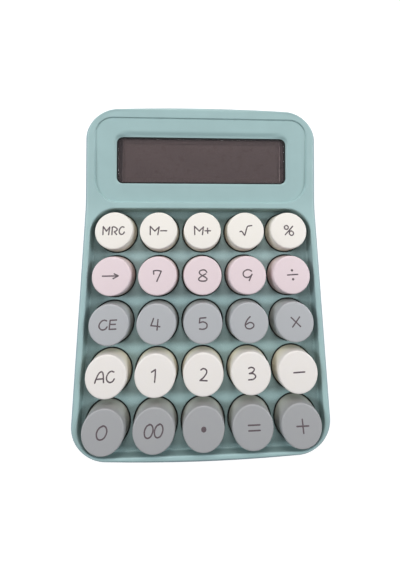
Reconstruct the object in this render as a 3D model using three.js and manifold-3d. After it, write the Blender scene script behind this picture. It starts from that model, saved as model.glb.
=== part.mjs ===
// Electronic calculator with 25 round keys, in millimetres.
// +Z is up, the user sits at -Y, the display is at the +Y end, and the feet stand on Z = 0.
// The deck and what lies along it share one tilted group, and the display has another.

import * as THREE from 'three';
import { mergeVertices } from 'three/addons/utils/BufferGeometryUtils.js';
import Module from 'manifold-3d';

const wasm = await Module();
wasm.setup();

// Clearances
const clearance = 0.3; // between pieces that rest on, or run in, each other
const overrun = 1; // how far a cut runs past the face that it opens
const tallCut = 30; // height of a cut that has nothing above it

// Keys, measured from the deck's upper face
const columns = 5;
const rows = 5;
const keyWeb = 1.3; // deck left between two key holes
const capBaseRadius = 9.35;
const capTaper = 0.65; // how much narrower the top is
const capHeight = 8.6;
const capEdgeRadius = 0.7;
const capCrown = 0.15;
const capWall = 1.6;
const stemRadius = 2.2;
const flangeWidth = 0.55;
const flangeThickness = 1;
const keyTravel = 2.5;

// Deck and key tray
const deckTilt = THREE.MathUtils.degToRad(3);
const deckHeight = 16.5; // above the table, under the middle key
const deckThickness = 2.4;
const traySideMargin = 1.65; // from the outer key holes to the tray's side and front walls
const trayRearMargin = 1.1;

// Case
const cornerRadius = 15;
const sideWall = 3.1;
const frontRim = 4.45; // how far the rim stands above the deck at the front
const rimTilt = THREE.MathUtils.degToRad(4.6);
const displayTilt = THREE.MathUtils.degToRad(14.5);
const bendLength = 8; // along Y, where the rim turns into the display's slope
const edgeRadius = 2;
const partingHeight = 8;
const lipHeight = 2;
const lipThickness = 0.8;

// Display panel, sunk into the rim's slope
const bridgeWidth = 2.75; // between the tray and the panel
const panelLength = 39.24; // along Y
const panelRearBorder = 5.2;
const panelSideBorder = 4.5;
const panelFrontDepth = 1.2;
const panelRearDepth = 0.5;
const panelFrontCorner = 10.8;
const panelRearCorner = 8.3;
const panelThickness = 3.8;

// Window lens, with the bevel round it
const windowSideBorder = 9.9; // from the panel's side to the window
const windowLength = 22.5;
const windowCorner = 3;
const windowThickness = 1.5;
const windowFrontSink = 0.3;
const windowRearSink = 0.85;
const bevelSide = 1;
const bevelFront = 0.4;
const bevelRear = 3;
const bevelCorner = 5;
const ledgeWidth = 2.2;

// Liquid crystal display and its cradle
const glassOverlap = 1.5; // past the opening under the lens
const glassThickness = 2.2;
const cradleWall = 2.2;
const cradleFloor = 1.4;
const cradleOpeningInset = 4;
const earLength = 7;
const earWidth = 7;
const earThickness = 2;
const cradleBossRadius = 2.4;

// Ribbon from the display to the board
const ribbonWidth = 50;
const ribbonThickness = 0.3;
const ribbonSetback = 5; // from the glass's front edge
const ribbonDrop = 4.5; // how far it heads straight down from the glass
const ribbonReach = 8; // how far beyond the board's end it turns down
const ribbonRise = 6.8; // its height there, above the board
const ribbonLanding = 2.6; // length that lies on the board

// Dome mat and circuit board
const domeSquashed = 0.9; // height that is left of a dome under a pressed key
const domeBaseRadius = 4.6;
const domeTopRadius = 2.8;
const matThickness = 0.8;
const boardThickness = 1.2;
const boardSideInset = 6.5; // from the tray's outline to the board's
const boardFrontInset = 2;
const boardRearInset = 0.45;
const boardCorner = 6;
const matFrontInset = 1;
const matRearInset = 4.5;

// Screws
const shankRadius = 1;
const pilotRadius = shankRadius + clearance;
const headRadius = 2.5;
const headHeight = 1.6;
const tipLength = 1;
const boardScrewGrip = 5;
const caseScrewGrip = 6;
const cradleScrewGrip = 2.4;
const boardBossRadius = 3;
const caseBossRadius = 2.8;

// Base
const footHeight = 1;
const footRadius = 4.5;
const footSeatDepth = 0.5;
const floorThickness = 2;
const baseUndercut = 3;
const baseEdgeHeight = 4.5;
const floorFillet = 0.6;
const pillarRadius = 4;
const pillarHeight = 3; // above the floor
const screwRecessDepth = 3;
const frontFootInset = 13.6; // from the case's sides to the feet and the screws
const rearFootInset = 15.6;
const sideScrewInset = 6.3;
const rearScrewInset = 9.5;
const frontFootSetback = 10; // from the case's front and rear faces
const rearFootSetback = 20;
const rearScrewSetback = 8.9;

// Battery compartment, with one cell across the case
const cellRadius = 5.25;
const cellLength = 43.3;
const cellNubRadius = 1.9;
const cellNubLength = 1.2;
const cellEdge = 0.5;
const compartmentSetback = 24.25; // from the case's rear face
const compartmentWall = 1.5;
const compartmentSlack = 0.55;
const springLength = 3.3;
const springRadius = 2.8;
const springWireRadius = 0.35;
const springTurns = 3;
const contactThickness = 0.4;
const contactWidth = 8;
const tabWidth = 3;
const tabRise = 1.6;
const slotMargin = 0.4;

// Battery door, which slides off to the rear
const doorLap = 0.95; // past each end of the compartment
const doorThickness = 2;
const tongueWidth = 1.5;
const tongueThickness = 0.6;
const railWidth = 4;
const railHeight = 2.4;

// Parts on the board's underside
const chipRadius = 6;
const chipHeight = 1.6;
const capacitorRadius = 2.5;
const capacitorLength = 7;
const capacitorPlaceShares = [1.17, 1.84]; // in key pitches from the middle key

// Wires from the battery contacts to the board
const wireRadius = 0.6;
const wireMargin = 5; // from the ribbon
const wireBoardInset = 3;
const wireDrop = 1.5; // straight down onto the board

// How finely round shapes are cut
const keySides = 20;
const domeSides = 10;
const screwSides = 8;
const rodSides = 12;
const wireSides = 6;
const coilSides = 5;
const coilSteps = 8; // in one turn
const arcSteps = 5;
const edgeSteps = 3;
const bendSteps = 4;
const mergeDistance = 1e-4;

// Sizes that follow
const capTopRadius = capBaseRadius - capTaper;
const keyHoleRadius = capBaseRadius + clearance;
const keyPitch = 2 * keyHoleRadius + keyWeb;
const outerKey = ((columns - 1) / 2) * keyPitch;
const trayHalfWidth = outerKey + keyHoleRadius + traySideMargin;
const trayRear = outerKey + keyHoleRadius + trayRearMargin;
const trayCorner = keyHoleRadius + traySideMargin;
const trayLength = (trayHalfWidth + trayRear) * Math.cos(deckTilt);
const bodyHalfWidth = trayHalfWidth + sideWall;
const bodyLength = sideWall + trayLength + bridgeWidth + panelLength + panelRearBorder;
const front = -bodyLength / 2;
const rear = bodyLength / 2;
const deckPlace = front + sideWall + trayHalfWidth * Math.cos(deckTilt);
const frontHeight = deckHeight - trayHalfWidth * Math.sin(deckTilt) + frontRim;

const flangeTop = -deckThickness - clearance;
const keyBottom = flangeTop - flangeThickness;
const domeTop = keyBottom - clearance;
const domeHeight = keyTravel + domeSquashed;
const matTop = domeTop - domeHeight;
const matBottom = matTop - matThickness;
const boardTop = matBottom - clearance;
const boardBottom = boardTop - boardThickness;

const panelFront = deckPlace + trayRear * Math.cos(deckTilt) + bridgeWidth;
const panelRear = rear - panelRearBorder;
const bendPlace = panelFront - bridgeWidth / 2;
const panelHalfWidth = bodyHalfWidth - panelSideBorder;
const windowWidth = 2 * (panelHalfWidth - windowSideBorder);

const boardHalfWidth = trayHalfWidth - boardSideInset;
const boardFront = trayHalfWidth - boardFrontInset;
const boardEnd = trayRear - boardRearInset;

const floorBottom = footHeight;
const floorTop = floorBottom + floorThickness;
const pillarTop = floorTop + pillarHeight;
const screwSeat = floorBottom + screwRecessDepth;
const caseBossBottom = pillarTop + clearance;

// Heights of the sloping faces at a place along Y
function rimHeight(y) {
  const bendStart = bendPlace - bendLength / 2;
  const turn = Math.tan(displayTilt) - Math.tan(rimTilt);
  const past = THREE.MathUtils.clamp(y - bendStart, 0, bendLength);
  const beyond = Math.max(y - bendStart - bendLength, 0);
  const straight = frontHeight + (y - front) * Math.tan(rimTilt);
  return straight + turn * ((past * past) / (2 * bendLength) + beyond);
}

const panelFrontHeight = rimHeight(panelFront) - panelFrontDepth;
const panelRearHeight = rimHeight(panelRear) - panelRearDepth;
const panelRise = panelRearHeight - panelFrontHeight;
const panelTilt = Math.atan2(panelRise, panelRear - panelFront);
const panelHalfLength = Math.hypot(panelRise, panelRear - panelFront) / 2;

const deck = new THREE.Group();
deck.position.set(0, deckPlace, deckHeight);
deck.rotation.x = deckTilt;
deck.updateMatrix();

const display = new THREE.Group();
display.position.set(0, (panelFront + panelRear) / 2, (panelFrontHeight + panelRearHeight) / 2);
display.rotation.x = panelTilt;
display.updateMatrix();

function slopeHeight(group, y, drop) {
  const tilt = group.rotation.x;
  return group.position.z + (y - group.position.y) * Math.tan(tilt) - drop / Math.cos(tilt);
}

// Height of the lens's upper face in the display's own frame
function lensHeight(y) {
  const middle = (windowFrontSink + windowRearSink) / 2;
  return -middle - ((windowRearSink - windowFrontSink) * y) / windowLength;
}

// Geometry and solids
function solid(geometry, matrix) {
  const bare = geometry.clone();
  bare.deleteAttribute('normal');
  bare.deleteAttribute('uv');
  if (matrix) bare.applyMatrix4(matrix);
  const merged = mergeVertices(bare, mergeDistance);
  return new wasm.Manifold(
    new wasm.Mesh({
      numProp: 3,
      vertProperties: merged.attributes.position.array,
      triVerts: new Uint32Array(merged.index.array),
    }),
  );
}

function geometryOf(manifold) {
  const mesh = manifold.getMesh();
  const geometry = new THREE.BufferGeometry();
  geometry.setAttribute('position', new THREE.BufferAttribute(mesh.vertProperties, 3));
  geometry.setIndex(new THREE.BufferAttribute(mesh.triVerts, 1));
  geometry.computeVertexNormals();
  return geometry;
}

function roundedRectangle(halfWidth, start, end, startCorner, endCorner) {
  const shape = new THREE.Shape();
  const quarter = Math.PI / 2;
  shape.moveTo(startCorner - halfWidth, start);
  shape.lineTo(halfWidth - startCorner, start);
  shape.absarc(halfWidth - startCorner, start + startCorner, startCorner, -quarter, 0);
  shape.lineTo(halfWidth, end - endCorner);
  shape.absarc(halfWidth - endCorner, end - endCorner, endCorner, 0, quarter);
  shape.lineTo(endCorner - halfWidth, end);
  shape.absarc(endCorner - halfWidth, end - endCorner, endCorner, quarter, 2 * quarter);
  shape.lineTo(-halfWidth, start + startCorner);
  shape.absarc(startCorner - halfWidth, start + startCorner, startCorner, 2 * quarter, 3 * quarter);
  return shape;
}

function prism(shape, bottom, top) {
  const options = { depth: top - bottom, bevelEnabled: false, curveSegments: arcSteps };
  return new THREE.ExtrudeGeometry(shape, options).translate(0, 0, bottom);
}

function block(left, right, start, end, bottom, top) {
  const box = new THREE.BoxGeometry(right - left, end - start, top - bottom);
  return box.translate((left + right) / 2, (start + end) / 2, (bottom + top) / 2);
}

function rod(radius, bottom, top, sides = rodSides) {
  const cylinder = new THREE.CylinderGeometry(radius, radius, top - bottom, sides);
  return cylinder.rotateX(Math.PI / 2).translate(0, 0, (bottom + top) / 2);
}

// A turned body: its profile runs from the axis at the bottom, up the outside, to the axis again.
function turned(profile, sides) {
  const points = profile.map(([radius, height]) => new THREE.Vector2(radius, height));
  return new THREE.LatheGeometry(points, sides).rotateX(Math.PI / 2);
}

// The right half of a rounded outline, from the front to the rear, with stations on its straight side
function halfOutline(size, inset) {
  const points = [];
  const { halfWidth, start, end, startCorner, endCorner } = size;
  for (let step = 0; step <= arcSteps; step += 1) {
    const angle = (step / arcSteps) * (Math.PI / 2);
    const reach = startCorner - inset;
    points.push([
      halfWidth - startCorner + reach * Math.sin(angle),
      start + startCorner - reach * Math.cos(angle),
    ]);
  }
  for (const station of size.stations) points.push([halfWidth - inset, station]);
  for (let step = 0; step <= arcSteps; step += 1) {
    const angle = (step / arcSteps) * (Math.PI / 2);
    const reach = endCorner - inset;
    points.push([
      halfWidth - endCorner + reach * Math.cos(angle),
      end - endCorner + reach * Math.sin(angle),
    ]);
  }
  return points;
}

function ringAt(size, inset, height) {
  return halfOutline(size, inset).map(([x, y]) => [x, y, height(y)]);
}

// A closed solid from rings that mirror about X = 0, lowest ring first. Its caps run across like
// the rungs of a ladder, so a cap may bend along Y.
function ladder(rings) {
  const count = rings[0].length;
  const last = count - 1;
  const top = rings.length - 1;
  const positions = [];
  const index = [];
  for (const ring of rings) {
    for (const [x, y, z] of ring) positions.push(x, y, z, -x, y, z);
  }
  const right = (ring, i) => 2 * (ring * count + i);
  const left = (ring, i) => right(ring, i) + 1;
  const quad = (a, b, c, d) => index.push(a, b, c, a, c, d);
  for (let r = 0; r < top; r += 1) {
    for (let i = 0; i < last; i += 1) {
      quad(right(r, i), right(r, i + 1), right(r + 1, i + 1), right(r + 1, i));
      quad(left(r, i + 1), left(r, i), left(r + 1, i), left(r + 1, i + 1));
    }
    quad(left(r, 0), right(r, 0), right(r + 1, 0), left(r + 1, 0));
    quad(right(r, last), left(r, last), left(r + 1, last), right(r + 1, last));
  }
  for (let i = 0; i < last; i += 1) {
    quad(right(top, i), right(top, i + 1), left(top, i + 1), left(top, i));
    quad(left(0, i), left(0, i + 1), right(0, i + 1), right(0, i));
  }
  const geometry = new THREE.BufferGeometry();
  geometry.setAttribute('position', new THREE.Float32BufferAttribute(positions, 3));
  geometry.setIndex(index);
  return geometry;
}

function joinAll(solids) {
  return solids.reduce((whole, next) => whole.add(next));
}

function cutAll(body, cuts) {
  return cuts.reduce((rest, cut) => rest.subtract(cut), body);
}

// Places that repeat
const keyPlaces = [];
for (let row = 0; row < rows; row += 1) {
  for (let column = 0; column < columns; column += 1) {
    keyPlaces.push([(column - (columns - 1) / 2) * keyPitch, ((rows - 1) / 2 - row) * keyPitch]);
  }
}

// The board screws stand between four keys each, counted in pitches from the middle key.
const boardScrewShares = [
  [-1.5, -1.5],
  [1.5, -1.5],
  [-0.5, 0.5],
  [0.5, -0.5],
  [-1.5, 1.5],
  [1.5, 1.5],
];
const boardScrewPlaces = boardScrewShares.map(([x, y]) => [x * keyPitch, y * keyPitch]);

// The side screws stand beside the gaps between two rows, at the depth of the dome mat.
function besideRow(share) {
  return deckPlace + share * keyPitch * Math.cos(deckTilt) - matTop * Math.sin(deckTilt);
}

const sideScrewRowShares = [-1.5, 0.5];
const sideScrewPlace = bodyHalfWidth - sideScrewInset;
const rearScrewPlace = bodyHalfWidth - rearScrewInset;
const frontFootPlace = bodyHalfWidth - frontFootInset;
const rearFootPlace = bodyHalfWidth - rearFootInset;
const sideScrewPlaces = sideScrewRowShares.flatMap((share) => [
  [-sideScrewPlace, besideRow(share)],
  [sideScrewPlace, besideRow(share)],
]);
const rearScrewPlaces = [
  [-rearScrewPlace, rear - rearScrewSetback],
  [rearScrewPlace, rear - rearScrewSetback],
];
const caseScrewPlaces = [...sideScrewPlaces, ...rearScrewPlaces];
const caseScrewNames = [
  'front_left',
  'front_right',
  'middle_left',
  'middle_right',
  'rear_left',
  'rear_right',
];
const footPlaces = [
  [-frontFootPlace, front + frontFootSetback],
  [frontFootPlace, front + frontFootSetback],
  [-rearFootPlace, rear - rearFootSetback],
  [rearFootPlace, rear - rearFootSetback],
];
const footNames = ['front_left', 'front_right', 'rear_left', 'rear_right'];

function rodsAt(places, radius, bottom, top, sides, matrix) {
  return places.map(([x, y]) => {
    const stand = matrix ? matrix.clone() : new THREE.Matrix4();
    stand.multiply(new THREE.Matrix4().makeTranslation(x, y, 0));
    return solid(rod(radius, bottom, top, sides), stand);
  });
}

// Case outline, and the sizes of the cuts inside it
const caseSize = {
  halfWidth: bodyHalfWidth,
  start: front,
  end: rear,
  startCorner: cornerRadius,
  endCorner: cornerRadius,
  stations: Array.from(
    { length: bendSteps + 1 },
    (_, step) => bendPlace + (step / bendSteps - 1 / 2) * bendLength,
  ),
};
const plainCaseSize = { ...caseSize, stations: [] };

const glassHalfWidth = windowWidth / 2 - ledgeWidth + glassOverlap;
const glassHalfLength = windowLength / 2 - ledgeWidth + glassOverlap;
const glassTop = -panelThickness - clearance;
const glassBottom = glassTop - glassThickness;
const cradleHalfWidth = glassHalfWidth + clearance + cradleWall;
const cradleHalfLength = glassHalfLength + clearance + cradleWall;
const cradleBottom = glassBottom - clearance - cradleFloor;
const earPlace = cradleHalfWidth + earLength / 2;
const earTop = cradleBottom + earThickness;
const earPlaces = [
  [-earPlace, 0],
  [earPlace, 0],
];

function makeUpperHousing() {
  const rings = [ringAt(caseSize, 0, () => partingHeight + clearance / 2)];
  for (let step = 0; step <= edgeSteps; step += 1) {
    const angle = (step / edgeSteps) * (Math.PI / 2);
    const drop = edgeRadius * (1 - Math.sin(angle));
    rings.push(ringAt(caseSize, edgeRadius * (1 - Math.cos(angle)), (y) => rimHeight(y) - drop));
  }
  const outside = solid(ladder(rings));

  const tray = prism(
    roundedRectangle(trayHalfWidth, -trayHalfWidth, trayRear, trayCorner, trayCorner),
    0,
    tallCut,
  );
  const panel = prism(
    roundedRectangle(panelHalfWidth, -panelHalfLength, panelHalfLength, panelFrontCorner, panelRearCorner),
    0,
    tallCut,
  );

  // The hollow under the deck, and the higher one under the display
  const underDeck = ladder([
    ringAt(plainCaseSize, sideWall, () => partingHeight - overrun),
    ringAt(plainCaseSize, sideWall, (y) => slopeHeight(deck, y, deckThickness)),
  ]);
  const displayHollow = {
    halfWidth: bodyHalfWidth - sideWall,
    start: panelFront - bridgeWidth + sideWall,
    end: rear - sideWall,
    startCorner: sideWall,
    endCorner: cornerRadius - sideWall,
    stations: [],
  };
  const underDisplay = ladder([
    ringAt(displayHollow, 0, () => partingHeight),
    ringAt(displayHollow, 0, (y) => slopeHeight(display, y, panelThickness)),
  ]);

  const windowOutline = {
    halfWidth: windowWidth / 2,
    start: -windowLength / 2,
    end: windowLength / 2,
    startCorner: windowCorner,
    endCorner: windowCorner,
    stations: [],
  };
  const bevelOutline = {
    halfWidth: windowWidth / 2 + bevelSide,
    start: -windowLength / 2 - bevelFront,
    end: windowLength / 2 + bevelRear,
    startCorner: windowCorner,
    endCorner: bevelCorner,
    stations: [],
  };
  const windowCut = ladder([
    ringAt(windowOutline, 0, (y) => lensHeight(y) - windowThickness - clearance),
    ringAt(windowOutline, 0, lensHeight),
    ringAt(bevelOutline, 0, () => 0),
    ringAt(bevelOutline, 0, () => overrun),
  ]);
  const throughHalfLength = windowLength / 2 - ledgeWidth;
  const through = block(
    ledgeWidth - windowWidth / 2,
    windowWidth / 2 - ledgeWidth,
    -throughHalfLength,
    throughHalfLength,
    -panelThickness - overrun,
    0,
  );

  const shell = cutAll(outside, [
    solid(tray, deck.matrix),
    solid(panel, display.matrix),
    solid(underDeck),
    solid(underDisplay),
    solid(windowCut, display.matrix),
    solid(through, display.matrix),
    ...rodsAt(keyPlaces, keyHoleRadius, -deckThickness - overrun, overrun, keySides, deck.matrix),
  ]);

  const boardBosses = rodsAt(
    boardScrewPlaces,
    boardBossRadius,
    boardTop + clearance,
    -deckThickness / 2,
    rodSides,
    deck.matrix,
  );
  const sideBosses = sideScrewPlaces.flatMap(([x, y]) =>
    rodsAt([[x, y]], caseBossRadius, caseBossBottom, slopeHeight(deck, y, deckThickness / 2)),
  );
  const rearBosses = rearScrewPlaces.flatMap(([x, y]) =>
    rodsAt([[x, y]], caseBossRadius, caseBossBottom, slopeHeight(display, y, panelThickness / 2)),
  );
  const cradleBosses = rodsAt(
    earPlaces,
    cradleBossRadius,
    earTop + clearance,
    -panelThickness / 2,
    rodSides,
    display.matrix,
  );
  const whole = joinAll([shell, ...boardBosses, ...sideBosses, ...rearBosses, ...cradleBosses]);

  return cutAll(whole, [
    ...rodsAt(
      boardScrewPlaces,
      pilotRadius,
      boardTop - overrun,
      boardTop + boardScrewGrip + clearance,
      screwSides,
      deck.matrix,
    ),
    ...rodsAt(
      caseScrewPlaces,
      pilotRadius,
      caseBossBottom - overrun,
      caseBossBottom + caseScrewGrip + clearance,
      screwSides,
    ),
    ...rodsAt(
      earPlaces,
      pilotRadius,
      earTop - overrun,
      earTop + cradleScrewGrip + clearance * 2,
      screwSides,
      display.matrix,
    ),
  ]);
}

// Base: its lower edge curves in, and its lip stands inside the upper housing.
// Each pair holds a share of the undercut and a share of the curved edge's height.
const baseEdgeShares = [
  [1, 0],
  [0.5, 0.14],
  [0.18, 0.45],
  [0, 1],
];

function makeBaseOutside() {
  const rings = baseEdgeShares.map(([inward, upward]) =>
    ringAt(plainCaseSize, inward * baseUndercut, () => floorBottom + upward * baseEdgeHeight),
  );
  rings.push(ringAt(plainCaseSize, 0, () => partingHeight - clearance / 2));
  return solid(ladder(rings));
}

const baseOutside = makeBaseOutside();
const lipOutside = sideWall + clearance;
const lipInside = lipOutside + lipThickness;
const cellMiddle = floorBottom + doorThickness + compartmentSlack + cellRadius;
const compartmentHalfLength = cellRadius + compartmentSlack;
const compartmentTop = cellMiddle + cellRadius + compartmentSlack;
const cellEnd = cellLength + cellNubLength;
const contactRoom = contactThickness + 2 * clearance;
const compartmentInside = cellEnd + springLength + clearance + 2 * contactRoom;
const compartmentHalfWidth = compartmentInside / 2;
const compartmentPlace = rear - compartmentSetback;
const doorHalfWidth = compartmentHalfWidth + doorLap;
const doorFront = compartmentPlace - compartmentHalfLength;
const tongueBottom = floorBottom + (doorThickness - tongueThickness) / 2;

// Where the cell and its contacts stand, from left to right
const springPlateLeft = clearance - compartmentHalfWidth;
const springPlateRight = springPlateLeft + contactThickness;
const cellLeft = springPlateRight + springLength + clearance;
const platePlateLeft = cellLeft + cellEnd + clearance;
const tabTop = compartmentTop + compartmentWall + tabRise;
const contactPlaces = [springPlateLeft, platePlateLeft];

function makeLowerHousing() {
  const lip = ladder([
    ringAt(plainCaseSize, lipOutside, () => floorTop),
    ringAt(plainCaseSize, lipOutside, () => partingHeight + lipHeight),
  ]);
  const hollow = ladder([
    ringAt(plainCaseSize, lipInside + floorFillet, () => floorTop),
    ringAt(plainCaseSize, lipInside, () => floorTop + floorFillet),
    ringAt(plainCaseSize, lipInside, () => partingHeight + lipHeight + overrun),
  ]);
  const shell = baseOutside.add(solid(lip)).subtract(solid(hollow));

  const underFloorTop = floorTop - floorThickness / 2;
  const pillars = rodsAt(caseScrewPlaces, pillarRadius, underFloorTop, pillarTop);
  const outerHalfWidth = compartmentHalfWidth + compartmentWall;
  const outerHalfLength = compartmentHalfLength + compartmentWall;
  const compartment = block(
    -outerHalfWidth,
    outerHalfWidth,
    compartmentPlace - outerHalfLength,
    compartmentPlace + outerHalfLength,
    underFloorTop,
    compartmentTop + compartmentWall,
  );
  const rails = [-1, 1].map((side) =>
    block(
      Math.min(side * doorHalfWidth, side * (doorHalfWidth + railWidth)),
      Math.max(side * doorHalfWidth, side * (doorHalfWidth + railWidth)),
      doorFront - compartmentWall,
      rear - lipInside,
      underFloorTop,
      floorBottom + railHeight,
    ),
  );
  const whole = joinAll([shell, ...pillars, solid(compartment), ...rails.map((rail) => solid(rail))]);

  const cellRoom = block(
    -compartmentHalfWidth,
    compartmentHalfWidth,
    doorFront,
    compartmentPlace + compartmentHalfLength,
    floorTop + clearance,
    compartmentTop,
  );
  const doorway = block(
    -doorHalfWidth - clearance,
    doorHalfWidth + clearance,
    doorFront,
    rear + overrun,
    0,
    floorTop + 2 * clearance,
  );
  const grooves = block(
    -doorHalfWidth - tongueWidth - clearance,
    doorHalfWidth + tongueWidth + clearance,
    doorFront,
    rear + overrun,
    tongueBottom - clearance,
    tongueBottom + tongueThickness + clearance,
  );
  const slots = contactPlaces.map((left) =>
    block(
      left - slotMargin,
      left + contactThickness + slotMargin,
      compartmentPlace - tabWidth / 2 - slotMargin,
      compartmentPlace + tabWidth / 2 + slotMargin,
      compartmentTop - overrun,
      compartmentTop + compartmentWall + overrun,
    ),
  );
  const room = pilotRadius + clearance;
  return cutAll(whole, [
    ...rodsAt(caseScrewPlaces, caseBossRadius + clearance, pillarTop, partingHeight + tallCut),
    ...rodsAt(caseScrewPlaces, headRadius + clearance, floorBottom - overrun, screwSeat),
    ...rodsAt(caseScrewPlaces, room, floorBottom, pillarTop + overrun, screwSides),
    ...rodsAt(footPlaces, footRadius + clearance, 0, floorBottom + footSeatDepth),
    solid(cellRoom),
    solid(doorway),
    solid(grooves),
    ...slots.map((slot) => solid(slot)),
  ]);
}

function makeBatteryDoor() {
  const start = doorFront + clearance;
  const plate = block(-doorHalfWidth, doorHalfWidth, start, rear, floorBottom, floorTop);
  const tongues = block(
    -doorHalfWidth - tongueWidth,
    doorHalfWidth + tongueWidth,
    start,
    rear - lipInside,
    tongueBottom,
    tongueBottom + tongueThickness,
  );
  return solid(plate).add(solid(tongues)).intersect(baseOutside);
}

// Keycap: a hollow cup with a stem in its middle and a flange that the deck holds back
function makeKeycap() {
  const flangeRadius = capBaseRadius + flangeWidth;
  const roof = capHeight - capWall;
  return turned(
    [
      [0, keyBottom],
      [stemRadius, keyBottom],
      [stemRadius, roof],
      [capTopRadius - capWall, roof],
      [capBaseRadius - capWall, keyBottom],
      [flangeRadius, keyBottom],
      [flangeRadius, flangeTop],
      [capBaseRadius, flangeTop],
      [capTopRadius, capHeight - capEdgeRadius],
      [capTopRadius - capEdgeRadius, capHeight],
      [0, capHeight + capCrown],
    ],
    keySides,
  );
}

function makeDomeMat() {
  const matFront = matFrontInset - boardFront;
  const matRear = boardEnd - matRearInset;
  const outline = roundedRectangle(boardHalfWidth, matFront, matRear, boardCorner, boardCorner);
  const dome = turned(
    [
      [0, matTop - matThickness / 2],
      [domeBaseRadius, matTop - matThickness / 2],
      [domeTopRadius, domeTop],
      [0, domeTop],
    ],
    domeSides,
  );
  const domes = keyPlaces.map(([x, y]) => solid(dome, new THREE.Matrix4().makeTranslation(x, y, 0)));
  const sheet = solid(prism(outline, matBottom, matTop));
  const holes = rodsAt(boardScrewPlaces, boardBossRadius + clearance, matBottom - overrun, matTop + overrun);
  return cutAll(joinAll([sheet, ...domes]), holes);
}

function makeCircuitBoard() {
  const outline = roundedRectangle(boardHalfWidth, -boardFront, boardEnd, boardCorner, boardCorner);
  const low = boardBottom - overrun;
  const high = boardTop + overrun;
  const notches = sideScrewRowShares.flatMap((share) => [
    [-sideScrewPlace, share * keyPitch],
    [sideScrewPlace, share * keyPitch],
  ]);
  return cutAll(solid(prism(outline, boardBottom, boardTop)), [
    ...rodsAt(boardScrewPlaces, pilotRadius, low, high, screwSides),
    ...rodsAt(notches, pillarRadius + 2 * clearance, low, high),
  ]);
}

// A pan-head screw that points up, with its head's upper face at seat
function makeScrew(seat, length) {
  const tip = seat + length;
  return turned(
    [
      [0, seat - headHeight],
      [headRadius, seat - headHeight],
      [headRadius, seat],
      [shankRadius, seat],
      [shankRadius, tip - tipLength],
      [0, tip],
    ],
    screwSides,
  );
}

function makeWindow() {
  const size = {
    halfWidth: windowWidth / 2,
    start: -windowLength / 2,
    end: windowLength / 2,
    startCorner: windowCorner,
    endCorner: windowCorner,
    stations: [],
  };
  return ladder([
    ringAt(size, clearance, (y) => lensHeight(y) - windowThickness),
    ringAt(size, clearance, lensHeight),
  ]);
}

function makeCradle() {
  const body = block(
    -cradleHalfWidth,
    cradleHalfWidth,
    -cradleHalfLength,
    cradleHalfLength,
    cradleBottom,
    glassTop,
  );
  const ears = block(
    -cradleHalfWidth - earLength,
    cradleHalfWidth + earLength,
    -earWidth / 2,
    earWidth / 2,
    cradleBottom,
    earTop,
  );
  const seat = block(
    -glassHalfWidth - clearance,
    glassHalfWidth + clearance,
    -glassHalfLength - clearance,
    glassHalfLength + clearance,
    glassBottom - clearance,
    glassTop + overrun,
  );
  const opening = block(
    cradleOpeningInset - glassHalfWidth,
    glassHalfWidth - cradleOpeningInset,
    cradleOpeningInset - glassHalfLength,
    glassHalfLength - cradleOpeningInset,
    cradleBottom - overrun,
    glassBottom,
  );
  return cutAll(solid(body).add(solid(ears)), [
    solid(seat),
    solid(opening),
    ...rodsAt(earPlaces, pilotRadius, cradleBottom - overrun, earTop + overrun, screwSides),
  ]);
}

// Turns a solid drawn in Y and Z, and extruded along its own third axis, to lie along X
const alongX = new THREE.Matrix4().makeBasis(
  new THREE.Vector3(0, 1, 0),
  new THREE.Vector3(0, 0, 1),
  new THREE.Vector3(1, 0, 0),
);

// The ribbon drops from the glass, bends forward and lies on the board's rear end.
function makeRibbon() {
  const fromDisplay = (y, z) => new THREE.Vector3(0, y, z).applyMatrix4(display.matrix);
  const fromDeck = (y, z) => new THREE.Vector3(0, y, z).applyMatrix4(deck.matrix);
  const topY = ribbonSetback - glassHalfLength;
  const lift = clearance + ribbonThickness / 2;
  const landing = boardEnd - ribbonLanding;
  const curve = new THREE.CubicBezierCurve3(
    fromDisplay(topY, glassBottom - lift),
    fromDisplay(topY, glassBottom - ribbonDrop),
    fromDeck(boardEnd + ribbonReach, boardTop + ribbonRise),
    fromDeck(boardEnd, boardTop + lift),
  );
  const middle = [...curve.getPoints(2 * arcSteps), fromDeck(landing, boardTop + lift)];
  const side = (sign) =>
    middle.map((point, i) => {
      const before = middle[Math.max(i - 1, 0)];
      const after = middle[Math.min(i + 1, middle.length - 1)];
      const along = new THREE.Vector2(after.y - before.y, after.z - before.z).normalize();
      const reach = (sign * ribbonThickness) / 2;
      return new THREE.Vector2(point.y - along.y * reach, point.z + along.x * reach);
    });
  const shape = new THREE.Shape([...side(1), ...side(-1).reverse()]);
  return prism(shape, -ribbonWidth / 2, ribbonWidth / 2).applyMatrix4(alongX);
}

// Battery pieces
function makeCell() {
  const cell = turned(
    [
      [0, 0],
      [cellRadius - cellEdge, 0],
      [cellRadius, cellEdge],
      [cellRadius, cellLength - cellEdge],
      [cellRadius - cellEdge, cellLength],
      [cellNubRadius, cellLength],
      [cellNubRadius, cellEnd],
      [0, cellEnd],
    ],
    rodSides,
  );
  return cell.rotateY(Math.PI / 2).translate(cellLeft, compartmentPlace, cellMiddle);
}

function makeContact(left) {
  const right = left + contactThickness;
  const half = contactWidth / 2;
  const low = cellMiddle - half;
  const plate = block(left, right, compartmentPlace - half, compartmentPlace + half, low, cellMiddle + half);
  const tab = block(
    left,
    right,
    compartmentPlace - tabWidth / 2,
    compartmentPlace + tabWidth / 2,
    cellMiddle,
    tabTop,
  );
  return solid(plate).add(solid(tab));
}

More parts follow.
